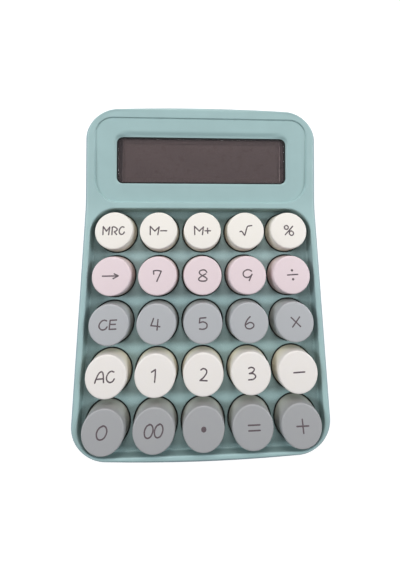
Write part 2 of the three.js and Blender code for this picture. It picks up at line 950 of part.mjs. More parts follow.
class SpringCurve extends THREE.Curve {
  getPoint(share, target = new THREE.Vector3()) {
    const angle = share * springTurns * 2 * Math.PI;
    const start = springPlateRight - contactThickness / 2;
    const length = springLength - springWireRadius + contactThickness / 2;
    return target.set(
      start + share * length,
      compartmentPlace + springRadius * Math.cos(angle),
      cellMiddle + springRadius * Math.sin(angle),
    );
  }
}

function circle(radius, sides) {
  const points = Array.from({ length: sides }, (_, i) => {
    const angle = (i / sides) * 2 * Math.PI;
    return new THREE.Vector2(radius * Math.cos(angle), radius * Math.sin(angle));
  });
  return new THREE.Shape(points);
}

function makeSpring() {
  const steps = coilSteps * springTurns;
  const options = { steps, extrudePath: new SpringCurve(), bevelEnabled: false };
  const coil = new THREE.ExtrudeGeometry(circle(springWireRadius, coilSides), options);
  return makeContact(springPlateLeft).add(solid(coil));
}

// A wire runs forward from its contact's tab, round the compartment's front corner, and down onto
// the board's rear corner.
function makeWire(side, contactLeft) {
  const height = compartmentTop + compartmentWall + clearance + wireRadius;
  const start = new THREE.Vector3(
    contactLeft + contactThickness / 2,
    compartmentPlace - tabWidth / 2 - clearance,
    height,
  );
  const corner = new THREE.Vector3(
    side * (compartmentHalfWidth + compartmentWall + wireRadius + clearance),
    doorFront - compartmentWall,
    height,
  );
  const sidePlace = side * (ribbonWidth / 2 + wireMargin);
  const end = new THREE.Vector3(sidePlace, boardEnd - wireBoardInset, boardTop + clearance);
  end.applyMatrix4(deck.matrix);
  const landing = end.clone().setZ(end.z + wireDrop);
  const path = new THREE.CatmullRomCurve3([start, corner, landing, end]);
  const options = { steps: rodSides, extrudePath: path, bevelEnabled: false };
  return new THREE.ExtrudeGeometry(circle(wireRadius, wireSides), options);
}

// Colours and finishes
function finish(color, roughness, metalness = 0) {
  return new THREE.MeshStandardMaterial({ color, roughness, metalness });
}

const mint = finish(0xa4bcbc, 0.55);
const steel = finish(0x9a9c9e, 0.35, 1);
const nickel = finish(0xb8b6b0, 0.3, 1);
const rubber = finish(0x2c2c2e, 0.9);

const calculator = new THREE.Group();
calculator.add(deck, display);

function place(parent, name, shape, material) {
  const geometry = shape.isBufferGeometry ? shape : geometryOf(shape);
  const mesh = new THREE.Mesh(geometry, material);
  mesh.name = name;
  parent.add(mesh);
  return mesh;
}

place(calculator, 'upper_housing', makeUpperHousing(), mint);
place(calculator, 'lower_housing', makeLowerHousing(), mint);
place(calculator, 'battery_door', makeBatteryDoor(), mint);
place(display, 'display_window', makeWindow(), finish(0x383236, 0.12));
place(
  display,
  'lcd_panel',
  block(-glassHalfWidth, glassHalfWidth, -glassHalfLength, glassHalfLength, glassBottom, glassTop),
  finish(0x5b5a52, 0.25),
);
place(display, 'lcd_cradle', makeCradle(), finish(0xd9d9d4, 0.6));
place(calculator, 'display_ribbon', makeRibbon(), finish(0xb08a4a, 0.45));
place(deck, 'rubber_dome_mat', makeDomeMat(), finish(0xc9ccca, 0.85));
place(deck, 'circuit_board', makeCircuitBoard(), finish(0x2f6b45, 0.5));

const keyRows = [
  { color: 0xece8e2, names: ['memory_recall', 'memory_minus', 'memory_plus', 'square_root', 'percent'] },
  { color: 0xe2d6da, names: ['backspace', 'seven', 'eight', 'nine', 'divide'] },
  { color: 0xb4b4b8, names: ['clear_entry', 'four', 'five', 'six', 'multiply'] },
  { color: 0xe2dfdc, names: ['all_clear', 'one', 'two', 'three', 'minus'] },
  { color: 0xa3a3a5, names: ['zero', 'double_zero', 'point', 'equals', 'plus'] },
];
const keycap = makeKeycap();
keyRows.forEach(({ color, names }, row) => {
  const material = finish(color, 0.5);
  names.forEach((name, column) => {
    const [x, y] = keyPlaces[row * columns + column];
    place(deck, `key_${name}`, keycap, material).position.set(x, y, 0);
  });
});

// Screws: the board's pass through it into the deck's bosses, and the case's come up through the base.
const boardScrew = makeScrew(boardBottom - clearance, boardThickness + clearance + boardScrewGrip);
boardScrewPlaces.forEach(([x, y], i) => {
  place(deck, `board_screw_${i + 1}`, boardScrew, steel).position.set(x, y, 0);
});
const caseScrewSeat = screwSeat - clearance;
const caseScrew = makeScrew(caseScrewSeat, caseBossBottom - caseScrewSeat + caseScrewGrip);
caseScrewPlaces.forEach(([x, y], i) => {
  place(calculator, `case_screw_${caseScrewNames[i]}`, caseScrew, steel).position.set(x, y, 0);
});
const cradleScrew = makeScrew(cradleBottom - clearance, earThickness + clearance + cradleScrewGrip);
earPlaces.forEach(([x, y], i) => {
  const side = ['left', 'right'][i];
  place(display, `cradle_screw_${side}`, cradleScrew, steel).position.set(x, y, 0);
});

// Feet, sunk into shallow seats
footPlaces.forEach(([x, y], i) => {
  const foot = rod(footRadius, 0, floorBottom + footSeatDepth - clearance);
  place(calculator, `foot_${footNames[i]}`, foot, rubber).position.set(x, y, 0);
});

// Parts that hang on the board's underside
const chipProfile = [
  [0, boardBottom - clearance - chipHeight],
  [chipRadius / 2, boardBottom - clearance - chipHeight],
  [chipRadius, boardBottom - clearance - chipHeight / 3],
  [chipRadius, boardBottom - clearance],
  [0, boardBottom - clearance],
];
place(deck, 'controller_chip', turned(chipProfile, rodSides), finish(0x151515, 0.4)).position.set(
  0,
  keyPitch,
  0,
);
const capacitor = rod(capacitorRadius, -capacitorLength / 2, capacitorLength / 2, domeSides);
capacitor.rotateY(Math.PI / 2);
place(deck, 'capacitor', capacitor, finish(0x2a3550, 0.4)).position.set(
  capacitorPlaceShares[0] * keyPitch,
  capacitorPlaceShares[1] * keyPitch,
  boardBottom - clearance - capacitorRadius,
);

place(calculator, 'battery_cell', makeCell(), finish(0x8e8f92, 0.35, 0.6));
place(calculator, 'battery_spring_contact', makeSpring(), nickel);
place(calculator, 'battery_plate_contact', makeContact(platePlateLeft), nickel);
place(calculator, 'battery_wire_black', makeWire(-1, springPlateLeft), finish(0x1b1b1b, 0.6));
place(calculator, 'battery_wire_red', makeWire(1, platePlateLeft), finish(0xa51f1f, 0.6));

export default calculator;
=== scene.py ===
"""Electronic calculator with 25 round keys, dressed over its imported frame.

Lengths are worked out in millimetres and put into the meshes in metres.
"""

import math

import bmesh
import bpy
import numpy as np
from bpy.props import FloatProperty, FloatVectorProperty, IntProperty, PointerProperty
from mathutils import Matrix, Vector


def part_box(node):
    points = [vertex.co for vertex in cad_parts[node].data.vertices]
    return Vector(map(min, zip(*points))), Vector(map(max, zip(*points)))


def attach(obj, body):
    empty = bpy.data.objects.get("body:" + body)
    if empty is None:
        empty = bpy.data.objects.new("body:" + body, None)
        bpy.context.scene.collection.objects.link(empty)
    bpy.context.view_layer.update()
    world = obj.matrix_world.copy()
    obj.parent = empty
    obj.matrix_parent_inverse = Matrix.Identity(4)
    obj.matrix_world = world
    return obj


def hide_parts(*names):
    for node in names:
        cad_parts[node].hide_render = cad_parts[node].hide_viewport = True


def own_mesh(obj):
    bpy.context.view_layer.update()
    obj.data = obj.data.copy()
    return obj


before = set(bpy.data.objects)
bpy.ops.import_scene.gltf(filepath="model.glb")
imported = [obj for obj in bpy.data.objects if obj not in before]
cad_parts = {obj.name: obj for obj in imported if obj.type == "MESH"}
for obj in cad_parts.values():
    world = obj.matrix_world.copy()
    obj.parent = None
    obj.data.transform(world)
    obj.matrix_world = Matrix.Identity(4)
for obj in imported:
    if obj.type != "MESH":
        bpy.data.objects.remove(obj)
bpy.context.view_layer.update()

bl_info = {
    "name": "Round-key calculator",
    "version": (1, 0, 0),
    "blender": (4, 5, 0),
    "location": "3D View > Sidebar > Calculator",
    "description": "Housing, keys, legends, window and base of a desktop calculator",
    "category": "Object",
}

MM = 0.001

# Sizes of the CAD part that the pieces here follow, in millimetres
COLUMNS = 5
ROWS = 5
KEY_PITCH = 20.6
CAP_BASE_RADIUS = 9.35
CAP_TOP_RADIUS = 8.7
CAP_HEIGHT = 8.6
CAP_CROWN = 0.15
CAP_WALL = 1.6
CAP_BOTTOM = -3.7
FLANGE_TOP = -2.7
FLANGE_RADIUS = 9.9
STEM_RADIUS = 2.2
DECK_THICKNESS = 2.4
DECK_HEIGHT = 16.5
DOME_TOP = -4.0
DOME_RADII = (2.8, 4.6)
MAT_HALF_WIDTH = 46.0
MAT_ENDS = (-49.5, 47.0)
MAT_CORNER = 6.0
MAT_TOP = -7.4
MAT_BOTTOM = -8.2
MAT_HOLE_RADIUS = 3.3
TRAY_HALF_WIDTH = 52.5
TRAY_REAR = 51.95
TRAY_CORNER = 11.3
CASE_HALF_WIDTH = 55.6
CASE_CORNER = 15.0
SIDE_WALL = 3.1
FRONT_RIM = 4.45
DECK_TILT = math.radians(3)
RIM_TILT = math.radians(4.6)
DISPLAY_TILT = math.radians(14.5)
BEND_LENGTH = 8.0
BRIDGE_WIDTH = 2.75
PANEL_LENGTH = 39.24
PANEL_REAR_BORDER = 5.2
PANEL_HALF_WIDTH = 51.1
PANEL_CORNERS = (10.8, 8.3)
PANEL_DEPTHS = (1.2, 0.5)
PANEL_THICKNESS = 3.8
GROOVE_DEPTH = 0.12
WINDOW_HALF_WIDTH = 41.2
WINDOW_HALF_LENGTH = 11.25
WINDOW_CORNER = 3.0
WINDOW_SINKS = (0.3, 0.85)
WINDOW_THICKNESS = 1.5
BEVEL_SIDE = 1.0
BEVEL_FRONT = 0.4
BEVEL_REAR = 3.0
BEVEL_CORNER = 5.0
LEDGE_WIDTH = 2.2
END_BOW = 0.78
END_BOW_PLACE = 34.0
PARTING = 8.0
PARTING_GAP = 0.3
BASE_BOTTOM = 1.0
BASE_UNDERCUT = 3.0
BASE_EDGE_HEIGHT = 4.5
FLOOR_TOP = 3.0
LIP_OUTSIDE = 3.4
LIP_INSIDE = 4.2
LIP_TOP = 10.0
EDGE_EASE = 0.25
JOINT_BOTTOM = 2.0
PILLAR_RADIUS = 4.0
PILLAR_TOP = 6.0
RAIL_WIDTH = 4.0
RAIL_TOP = 3.4
SCREW_RECESS = (2.8, 3.0)
FOOT_SEAT = (4.8, 0.5)
CELL_SETBACK = 24.25
CELL_HALF_ROOM = 25.05
CELL_ROOM_HEIGHTS = (3.3, 14.6)
COMPARTMENT_WALL = 1.5
DOOR_GAP = 0.3
DOORWAY_TOP = 3.6
TONGUE_REACH = 1.5
TONGUE_HEIGHTS = (1.7, 2.3)
GROOVE_REACH = 1.8
GROOVE_HEIGHTS = (1.4, 2.6)
GRIP_COUNT = 5
GRIP_START = 14.0
GRIP_PITCH = 2.4
GRIP_BEND = 1.6
GRIP_HALF_LENGTH = 8.5
GRIP_HALF_WIDTH = 0.62
GRIP_DEPTH = 0.55

# Places that follow
TRAY_LENGTH = (TRAY_HALF_WIDTH + TRAY_REAR) * math.cos(DECK_TILT)
CASE_REAR = (SIDE_WALL + TRAY_LENGTH + BRIDGE_WIDTH + PANEL_LENGTH + PANEL_REAR_BORDER) / 2
CASE_FRONT = -CASE_REAR
DECK_PLACE = CASE_FRONT + SIDE_WALL + TRAY_HALF_WIDTH * math.cos(DECK_TILT)
FRONT_HEIGHT = DECK_HEIGHT - TRAY_HALF_WIDTH * math.sin(DECK_TILT) + FRONT_RIM
PANEL_FRONT = DECK_PLACE + TRAY_REAR * math.cos(DECK_TILT) + BRIDGE_WIDTH
PANEL_REAR = CASE_REAR - PANEL_REAR_BORDER
BEND_PLACE = PANEL_FRONT - BRIDGE_WIDTH / 2

KEY_NAMES = (
    ("memory_recall", "memory_minus", "memory_plus", "square_root", "percent"),
    ("backspace", "seven", "eight", "nine", "divide"),
    ("clear_entry", "four", "five", "six", "multiply"),
    ("all_clear", "one", "two", "three", "minus"),
    ("zero", "double_zero", "point", "equals", "plus"),
)
# For each row of keys: its material slot, its colour's property, and the display colour of its foot
KEY_ROWS = (
    ("keycap_warm_white", "key_row_one", (234, 226, 206)),
    ("keycap_pink", "key_row_two", (216, 194, 188)),
    ("keycap_grey", "key_row_three", (172, 173, 169)),
    ("keycap_white", "key_row_four", (232, 222, 198)),
    ("keycap_dark_grey", "key_row_five", (176, 176, 168)),
)

# Painted shade on the case's plastic, as tints: a bluish one on its rounded outer edge, one on its
# front edge, and one deep between faces
EDGE_PAINTED_SHADE = (0.55, 0.57, 0.74)
FRONT_PAINTED_SHADE = (0.6, 0.62, 0.66)
CREVICE_PAINTED_SHADE = (0.2, 0.22, 0.23)


# Surfaces of the case, in millimetres
def rim_height(y):
    """Height of the rim at a place along Y: a straight slope, a parabola through the bend, and the
    display's steeper slope beyond it."""
    start = BEND_PLACE - BEND_LENGTH / 2
    turn = math.tan(DISPLAY_TILT) - math.tan(RIM_TILT)
    past = np.clip(y - start, 0, BEND_LENGTH)
    beyond = np.maximum(y - start - BEND_LENGTH, 0)
    straight = FRONT_HEIGHT + (y - CASE_FRONT) * math.tan(RIM_TILT)
    return straight + turn * (past**2 / (2 * BEND_LENGTH) + beyond)


PANEL_LOW = float(rim_height(PANEL_FRONT)) - PANEL_DEPTHS[0]
PANEL_HIGH = float(rim_height(PANEL_REAR)) - PANEL_DEPTHS[1]
PANEL_TILT = math.atan2(PANEL_HIGH - PANEL_LOW, PANEL_REAR - PANEL_FRONT)
PANEL_HALF_LENGTH = math.hypot(PANEL_HIGH - PANEL_LOW, PANEL_REAR - PANEL_FRONT) / 2

# A tilted group is the Y and Z of its origin and its turn about X.
DECK = (DECK_PLACE, DECK_HEIGHT, DECK_TILT)
DISPLAY = ((PANEL_FRONT + PANEL_REAR) / 2, (PANEL_LOW + PANEL_HIGH) / 2, PANEL_TILT)


def to_world(points, group):
    """Points of a tilted group in the part's frame: turned about X, then moved to its origin."""
    place, height, tilt = group
    x, y, z = np.moveaxis(points, -1, 0)
    along = place + y * math.cos(tilt) - z * math.sin(tilt)
    up = height + y * math.sin(tilt) + z * math.cos(tilt)
    return np.stack([x, along, up], axis=-1)


def on_deck(points):
    """Points of the deck's frame in the part's frame."""
    return to_world(points, DECK)


def on_display(points):
    """Points of the display's frame in the part's frame."""
    return to_world(points, DISPLAY)


def to_group(points, group):
    """Points of the part's frame in a tilted group: to_world undone."""
    place, height, tilt = group
    x, y, z = np.moveaxis(points, -1, 0)
    along = (y - place) * math.cos(tilt) + (z - height) * math.sin(tilt)
    up = (z - height) * math.cos(tilt) - (y - place) * math.sin(tilt)
    return np.stack([x, along, up], axis=-1)


def lens_height(y):
    """Height of the lens's upper face in the display's frame, a plane that sinks to the rear."""
    front, rear = WINDOW_SINKS
    return -(front + rear) / 2 - (rear - front) * y / (2 * WINDOW_HALF_LENGTH)


def with_height(flat, height):
    """Points of a flat outline at a height, one number or one for each point."""
    return np.concatenate([flat, np.broadcast_to(height, flat.shape[:-1])[..., None]], axis=-1)


def under_rim(flat, group, drop=0.0):
    """Points over a tilted group's flat outline that lie drop below the rim's surface. The height is
    found by repeating: the rim's height above the place that the last height led to."""
    place, height, tilt = group
    z = np.zeros(flat.shape[:-1])
    repeats = 40
    for _ in range(repeats):
        y = place + flat[..., 1] * math.cos(tilt) - z * math.sin(tilt)
        z = (rim_height(y) - drop - height - flat[..., 1] * math.sin(tilt)) / math.cos(tilt)
    return with_height(flat, z)


def bowed(points, full, end):
    """Points of the case with its front and rear ends drawn in towards the corners: against the
    outline's normal, by the bow times the square of x over its place and of the normal's Y part. The
    whole bow reaches in as far as full from the outline, and fades out at end."""
    flat = np.abs(points[..., :2]) - np.array([CASE_HALF_WIDTH, CASE_REAR]) + CASE_CORNER
    out = np.maximum(flat, 0)
    reach = np.maximum(np.hypot(out[..., 0], out[..., 1]), 1e-9)
    normal = out / reach[..., None] * np.sign(points[..., :2])
    weight = np.clip(1 - (CASE_CORNER - reach - full) / (end - full), 0, 1)
    pull = END_BOW * (points[..., 0] / END_BOW_PLACE) ** 2 * normal[..., 1] ** 2 * weight
    moved = points.copy()
    moved[..., :2] -= normal * pull[..., None]
    return moved


def outline_hits(angle, left, right, start, end, start_corner=0.0, end_corner=0.0):
    """Where rays from the origin meet a rounded rectangle, the outward normals there, and how far
    they run: the nearer of two straight sides, or the circle of a corner where that lies in one."""
    ray_x, ray_y = np.cos(angle), np.sin(angle)
    across = np.where(ray_x >= 0, right, left) / np.where(ray_x == 0, 1e-12, ray_x)
    along = np.where(ray_y >= 0, end, start) / np.where(ray_y == 0, 1e-12, ray_y)
    reach = np.minimum(across, along)
    x, y = reach * ray_x, reach * ray_y
    normal_x = np.where(across < along, np.sign(ray_x), 0.0)
    normal_y = np.where(across < along, 0.0, np.sign(ray_y))
    for corner, edge, way in ((start_corner, start, -1), (end_corner, end, 1)):
        for side, turn in ((left, -1), (right, 1)):
            middle_x = side - turn * corner
            middle_y = edge - way * corner
            inside = ((x - middle_x) * turn > 0) & ((y - middle_y) * way > 0)
            dot = ray_x * middle_x + ray_y * middle_y
            room = np.maximum(dot**2 - middle_x**2 - middle_y**2 + corner**2, 0)
            curved = dot + np.sqrt(room)
            reach = np.where(inside, curved, reach)
            if corner > 0:
                normal_x = np.where(inside, (curved * ray_x - middle_x) / corner, normal_x)
                normal_y = np.where(inside, (curved * ray_y - middle_y) / corner, normal_y)
    points = np.stack([reach * ray_x, reach * ray_y], axis=-1)
    return points, np.stack([normal_x, normal_y], axis=-1), reach


def round_hits(angle, half, start, end, start_corner, end_corner):
    """Where rays from the origin meet a rounded rectangle centred in X, and its normals there."""
    points, normals, _ = outline_hits(angle, -half, half, start, end, start_corner, end_corner)
    return points, normals


def ordered(angles):
    """Angles in rising order, each once."""
    angles = np.sort(angles)
    return angles[np.append(np.diff(angles) > 1e-7, True)]


def rows_at(first, last, shares):
    """Rows of points from one loop to another, at these shares of the way."""
    share = np.asarray(shares, float)[:, None, None]
    return first * (1 - share) + last * share


def between(first, last, count):
    """Rows of points from one loop to another, in even steps, both ends included."""
    return rows_at(first, last, np.linspace(0, 1, count + 1))


def straight(first, last, count):
    """The first two and the last two of the rows that between gives. That is enough for a straight
    stretch: the shading of its rounded neighbours fades out within the short rows at its ends."""
    return rows_at(first, last, (0, 1 / count, 1 - 1 / count, 1))


def quarter(steps):
    """Angles of a quarter turn in even steps, both ends included."""
    return np.radians(np.linspace(0, 90, steps + 1))


def full_turn(count):
    """So many angles round a circle, in even steps."""
    return np.linspace(0, 2 * np.pi, count, endpoint=False)


def eased(share):
    """A soft step from 0 to 1: three shares squared less two shares cubed."""
    share = np.clip(share, 0, 1)
    return share * share * (3 - 2 * share)


def rounded_outline(half_width, start, end, start_corner, end_corner, step=0.5):
    """A rounded rectangle's points and outward normals, counterclockwise from the right end of its
    front side, by even steps along its straight sides and its corner arcs."""
    pieces = []
    centres = (
        (half_width - start_corner, start + start_corner, start_corner, -90),
        (half_width - end_corner, end - end_corner, end_corner, 0),
        (end_corner - half_width, end - end_corner, end_corner, 90),
        (start_corner - half_width, start + start_corner, start_corner, 180),
    )
    for x, y, radius, first in centres:
        count = max(6, round(radius * math.pi / 2 / step))
        angle = np.radians(np.linspace(first, first + 90, count + 1))
        normal = np.stack([np.cos(angle), np.sin(angle)], axis=-1)
        pieces.append((np.array([x, y]) + radius * normal, normal))
    points, normals = [], []
    for i, (arc, normal) in enumerate(pieces):
        following = pieces[(i + 1) % 4][0][0]
        length = np.hypot(*(following - arc[-1]))
        count = max(2, round(length / (2 * step)))
        share = np.linspace(0, 1, count + 1)[1:-1, None]
        points += [arc, arc[-1] * (1 - share) + following * share]
        normals += [normal, np.repeat(normal[-1:], count - 1, axis=0)]
    return np.concatenate(points), np.concatenate(normals)


# Meshes from grids
class Skin:
    """Gathers grids of points that share their edges, and makes one welded mesh of them."""

    def __init__(self):
        self.points = []
        self.quads = []
        self.caps = []
        self.count = 0

    def grid(self, points, closed=True):
        """Adds rows of points as quads between neighbouring rows, joined end to start if closed."""
        rows, columns = points.shape[:2]
        index = self.count + np.arange(rows * columns).reshape(rows, columns)
        if closed:
            index = np.concatenate([index, index[:, :1]], axis=1)
        corners = (index[:-1, :-1], index[:-1, 1:], index[1:, 1:], index[1:, :-1])
        self.quads.append(np.stack(corners, axis=-1).reshape(-1, 4))
        self.points.append(points.reshape(-1, 3))
        self.count += rows * columns
        return index[:, : columns]

    def solid(self, loops):
        """Adds a closed body: loops from its bottom to its top, with one flat face at each end."""
        index = self.grid(loops)
        self.caps += [index[0][::-1], index[-1]]
        return self

    def weld(self):
        """The points, each place once, and the faces as lists: quads with a doubled corner become
        triangles."""
        points = np.concatenate(self.points)
        keys = np.round(points / 1e-5).astype(np.int64)
        _, first, merged = np.unique(keys, axis=0, return_index=True, return_inverse=True)
        merged = merged.reshape(-1)
        quads = merged[np.concatenate(self.quads)]
        doubled = quads == np.roll(quads, -1, axis=1)
        full = quads[doubled.sum(axis=1) == 0]
        single = doubled.sum(axis=1) == 1
        triangles = quads[single][~doubled[single]].reshape(-1, 3)
        caps = [merged[loop].tolist() for loop in self.caps]
        return points[first], full.tolist() + triangles.tolist() + caps

    def piece(self, name, move=None):
        """A new object of the welded mesh, with its faces turned outwards. move maps its points."""
        points, faces = self.weld()
        if move is not None:
            points = move(points)
        return make_piece(name, points, faces)


def make_piece(name, points, faces):
    """An object at the origin from points in millimetres, smooth, with its faces turned outwards."""
    mesh = bpy.data.meshes.new(name)
    mesh.from_pydata((points * MM).tolist(), [], faces)
    work = bmesh.new()
    work.from_mesh(mesh)
    bmesh.ops.recalc_face_normals(work, faces=work.faces)
    work.to_mesh(mesh)
    work.free()
    mesh.shade_smooth()
    piece = bpy.data.objects.new(name, mesh)
    bpy.context.scene.collection.objects.link(piece)
    return piece


def crease(piece, degrees=35):
    """Shades a piece smooth but for the edges that turn by more than so many degrees."""
    piece.data.shade_smooth()
    piece.data.set_sharp_from_angle(angle=math.radians(degrees))


def crease_carved(piece):
    """Creases a carved piece, and lets its large flat faces decide the shading of its edges."""
    crease(piece, 32)
    weighted = piece.modifiers.new("flat faces", "WEIGHTED_NORMAL")
    weighted.keep_sharp = True


def carve(piece, tool, operation):
    """Joins a closed tool to a closed piece, or cuts it out of the piece, for good."""
    modifier = piece.modifiers.new("carve", "BOOLEAN")
    modifier.operation = operation
    modifier.object = tool
    modifier.solver = "EXACT"
    modifier.use_self = operation == "UNION"
    graph = bpy.context.evaluated_depsgraph_get()
    mesh = bpy.data.meshes.new_from_object(piece.evaluated_get(graph))
    old = piece.data
    piece.modifiers.clear()
    piece.data = mesh
    bpy.data.meshes.remove(old)
    waste = tool.data
    bpy.data.objects.remove(tool)
    bpy.data.meshes.remove(waste)
    if not mesh.polygons:
        raise RuntimeError(f"{piece.name} was carved away")


def dress(piece, material, body, slot, *nodes):
    """Gives a piece its material and its body, and hides the CAD nodes that it stands for; the slot is not
    used.
    """
    piece.data.materials.clear()
    piece.data.materials.append(material)
    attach(piece, body)
    if nodes:
        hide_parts(*nodes)
    return piece


def lathe_grid(profile, sides, centre=(0.0, 0.0)):
    """Rows of a turned surface: each radius and height of the profile carried round an upright axis."""
    profile = np.asarray(profile, float)
    angle = full_turn(sides)
    radius = profile[:, :1]
    height = np.repeat(profile[:, 1:], sides, axis=1)
    across = centre[0] + radius * np.cos(angle)
    along = centre[1] + radius * np.sin(angle)
    return np.stack([across, along, height], axis=-1)


def lathe(name, profile, sides, centre=(0.0, 0.0), move=None):
    """A turned piece from its profile, which starts and ends on the axis."""
    skin = Skin()
    skin.grid(lathe_grid(profile, sides, centre))
    return skin.piece(name, move)


def arc(centre_radius, centre_height, radius, first, last, steps):
    """Radius and height pairs on a circle's arc, by angle in degrees from outwards to upwards."""
    angle = np.radians(np.linspace(first, last, steps + 1))
    return np.stack(
        [centre_radius + radius * np.cos(angle), centre_height + radius * np.sin(angle)], axis=-1
    )


def profile_of(*runs):
    """One profile from points and runs of points."""
    return np.concatenate([np.atleast_2d(np.asarray(run, float)) for run in runs])


def box_loops(half_width, start, end, corner, bottom, top, edge=0.0):
    """Loops of a closed block with rounded upright corners, and its edges eased by a quarter circle."""
    outline, normal = rounded_outline(half_width, start, end, corner, corner)
    turns = quarter(4) if edge else np.zeros(1)
    low = [with_height(outline - normal * edge * (1 - math.sin(a)), bottom + edge * (1 - math.cos(a)))
           for a in turns]
    high = [with_height(outline - normal * edge * (1 - math.cos(a)), top - edge * (1 - math.sin(a)))
            for a in turns]
    return np.stack(low + high)


def block(name, left, right, start, end, bottom, top, corner=0.05, edge=0.0):
    """A closed block with rounded upright corners."""
    loops = box_loops((right - left) / 2, start, end, corner, bottom, top, edge)
    middle = np.array([(left + right) / 2, 0, 0])
    return Skin().solid(loops).piece(name, lambda points: points + middle)


# Materials
def colour_of(red, green, blue):
    """A display colour from 0 to 255, as Blender's linear colour."""
    share = np.array([red, green, blue]) / 255
    linear = np.where(share <= 0.04045, share / 12.92, ((share + 0.055) / 1.055) ** 2.4)
    return tuple(float(value) for value in linear)


class Nodes:
    """A node tree in the making."""

    def __init__(self, tree):
        self.nodes = tree.nodes
        self.links = tree.links

    def add(self, kind, *sources, **values):
        """A new node with its properties and the values of its sockets. The sources feed its first
        sockets."""
        node = self.nodes.new(kind)
        for key, value in values.items():
            if hasattr(node, key):
                setattr(node, key, value)
            else:
                node.inputs[key.replace("_", " ").title()].default_value = value
        for source, socket in zip(sources, node.inputs):
            self.links.new(source, socket)
        return node


class Finish(Nodes):
    """A node material in the making. Its textures read the object's own coordinates in millimetres."""

    def __init__(self, name, colour, roughness, metallic=0.0):
        self.material = bpy.data.materials.new(name)
        self.material.use_nodes = True
        self.material.diffuse_color = (*colour, 1)
        super().__init__(self.material.node_tree)
        self.shader = self.nodes["Principled BSDF"]
        self.colour = colour
        self.set(**{"Base Color": (*colour, 1), "Roughness": roughness, "Metallic": metallic})

    def set(self, **values):
        """Sets values on the shader's own sockets."""
        for key, value in values.items():
            self.shader.inputs[key].default_value = value

    def drive(self, name, source):
        """Feeds one of the shader's own sockets from a source."""
        self.links.new(source, self.shader.inputs[name])
        return self

    def where(self, stretch=(1.0, 1.0, 1.0)):
        """Object coordinates in millimetres, drawn together along each axis by stretch."""
        mapping = self.add("ShaderNodeMapping", self.add("ShaderNodeTexCoord").outputs["Object"])
        mapping.inputs["Scale"].default_value = tuple(1000 * s for s in stretch)
        return mapping.outputs["Vector"]

    def noise(self, size, detail=2.0, stretch=(1.0, 1.0, 1.0)):
        """Noise whose lumps are about so many millimetres across."""
        node = self.add("ShaderNodeTexNoise", self.where(stretch), scale=1 / size, detail=detail)
        return node.outputs["Fac"]

    def ranged(self, source, low, high, first=0.3, last=0.7):
        """A texture's values from first to last, mapped to low to high."""
        node = self.add("ShaderNodeMapRange", source)
        for number, value in enumerate((first, last, low, high), 1):
            node.inputs[number].default_value = value
        return node.outputs["Result"]

    def blend(self, share, first, last, kind="MIX"):
        """Two colours mixed by a share. Each is a colour or a source of one."""
        node = self.add("ShaderNodeMix", share, data_type="RGBA", blend_type=kind)
        for socket, colour in zip(node.inputs[6:8], (first, last)):
            if isinstance(colour, tuple):
                socket.default_value = (*colour, 1)
            else:
                self.links.new(colour, socket)
        return node.outputs[2]

    def product(self, first, second):
        """Two values multiplied."""
        return self.add("ShaderNodeMath", first, second, operation="MULTIPLY").outputs[0]

    def outermost(self, first, last):
        """0 up to first and 1 from last, both measured out from the centres of the case's corners."""
        point = self.where((1.0, 1.0, 0.0))
        centre = (CASE_HALF_WIDTH - CASE_CORNER, CASE_REAR - CASE_CORNER, 0)
        for operation, second in (("ABSOLUTE", (0, 0, 0)), ("SUBTRACT", centre), ("MAXIMUM", (0, 0, 0))):
            node = self.add("ShaderNodeVectorMath", point, operation=operation)
            node.inputs[1].default_value = second
            point = node.outputs[0]
        length = self.add("ShaderNodeVectorMath", point, operation="LENGTH")
        return self.ranged(length.outputs["Value"], 0, 1, first, last)

    def facing(self):
        """How far a face looks to the rear, and how far up: 1 straight there, and -1 straight away."""
        split = self.add("ShaderNodeSeparateXYZ", self.add("ShaderNodeNewGeometry").outputs["Normal"])
        return split.outputs["Y"], split.outputs["Z"]

    def openness(self, reach):
        """The share of the sky that other faces within reach in millimetres leave open."""
        return self.add("ShaderNodeAmbientOcclusion", samples=8, distance=reach * MM).outputs["AO"]

    def paint_shade_by(self, share, tint):
        """Paints shade: multiplies the base colour by a tint, by a share."""
        base = self.shader.inputs["Base Color"].links[0].from_socket
        return self.drive("Base Color", self.blend(share, base, tint, "MULTIPLY"))

    def mottle(self, size, amount, detail=3.0):
        """Lets the base colour drift darker and lighter by a share over so many millimetres."""
        share = self.ranged(self.noise(size, detail), 0, 1)
        dark = tuple(max(0.0, value * (1 - amount)) for value in self.colour)
        light = tuple(min(1.0, value * (1 + amount)) for value in self.colour)
        return self.drive("Base Color", self.blend(share, dark, light))

    def polish(self, size, low, high):
        """Lets the roughness vary between two values over so many millimetres."""
        return self.drive("Roughness", self.ranged(self.noise(size, 4.0), low, high))

    def grain(self, *layers):
        """Bumps, one layer on another, each a size in millimetres, a depth and an optional stretch."""
        last = None
        for size, depth, *stretch in layers:
            node = self.add("ShaderNodeBump", strength=1.0, distance=depth * MM)
            self.links.new(self.noise(size, 3.0, *stretch), node.inputs["Height"])
            if last is not None:
                self.links.new(last, node.inputs["Normal"])
            last = node.outputs["Normal"]
        return self.drive("Normal", last)


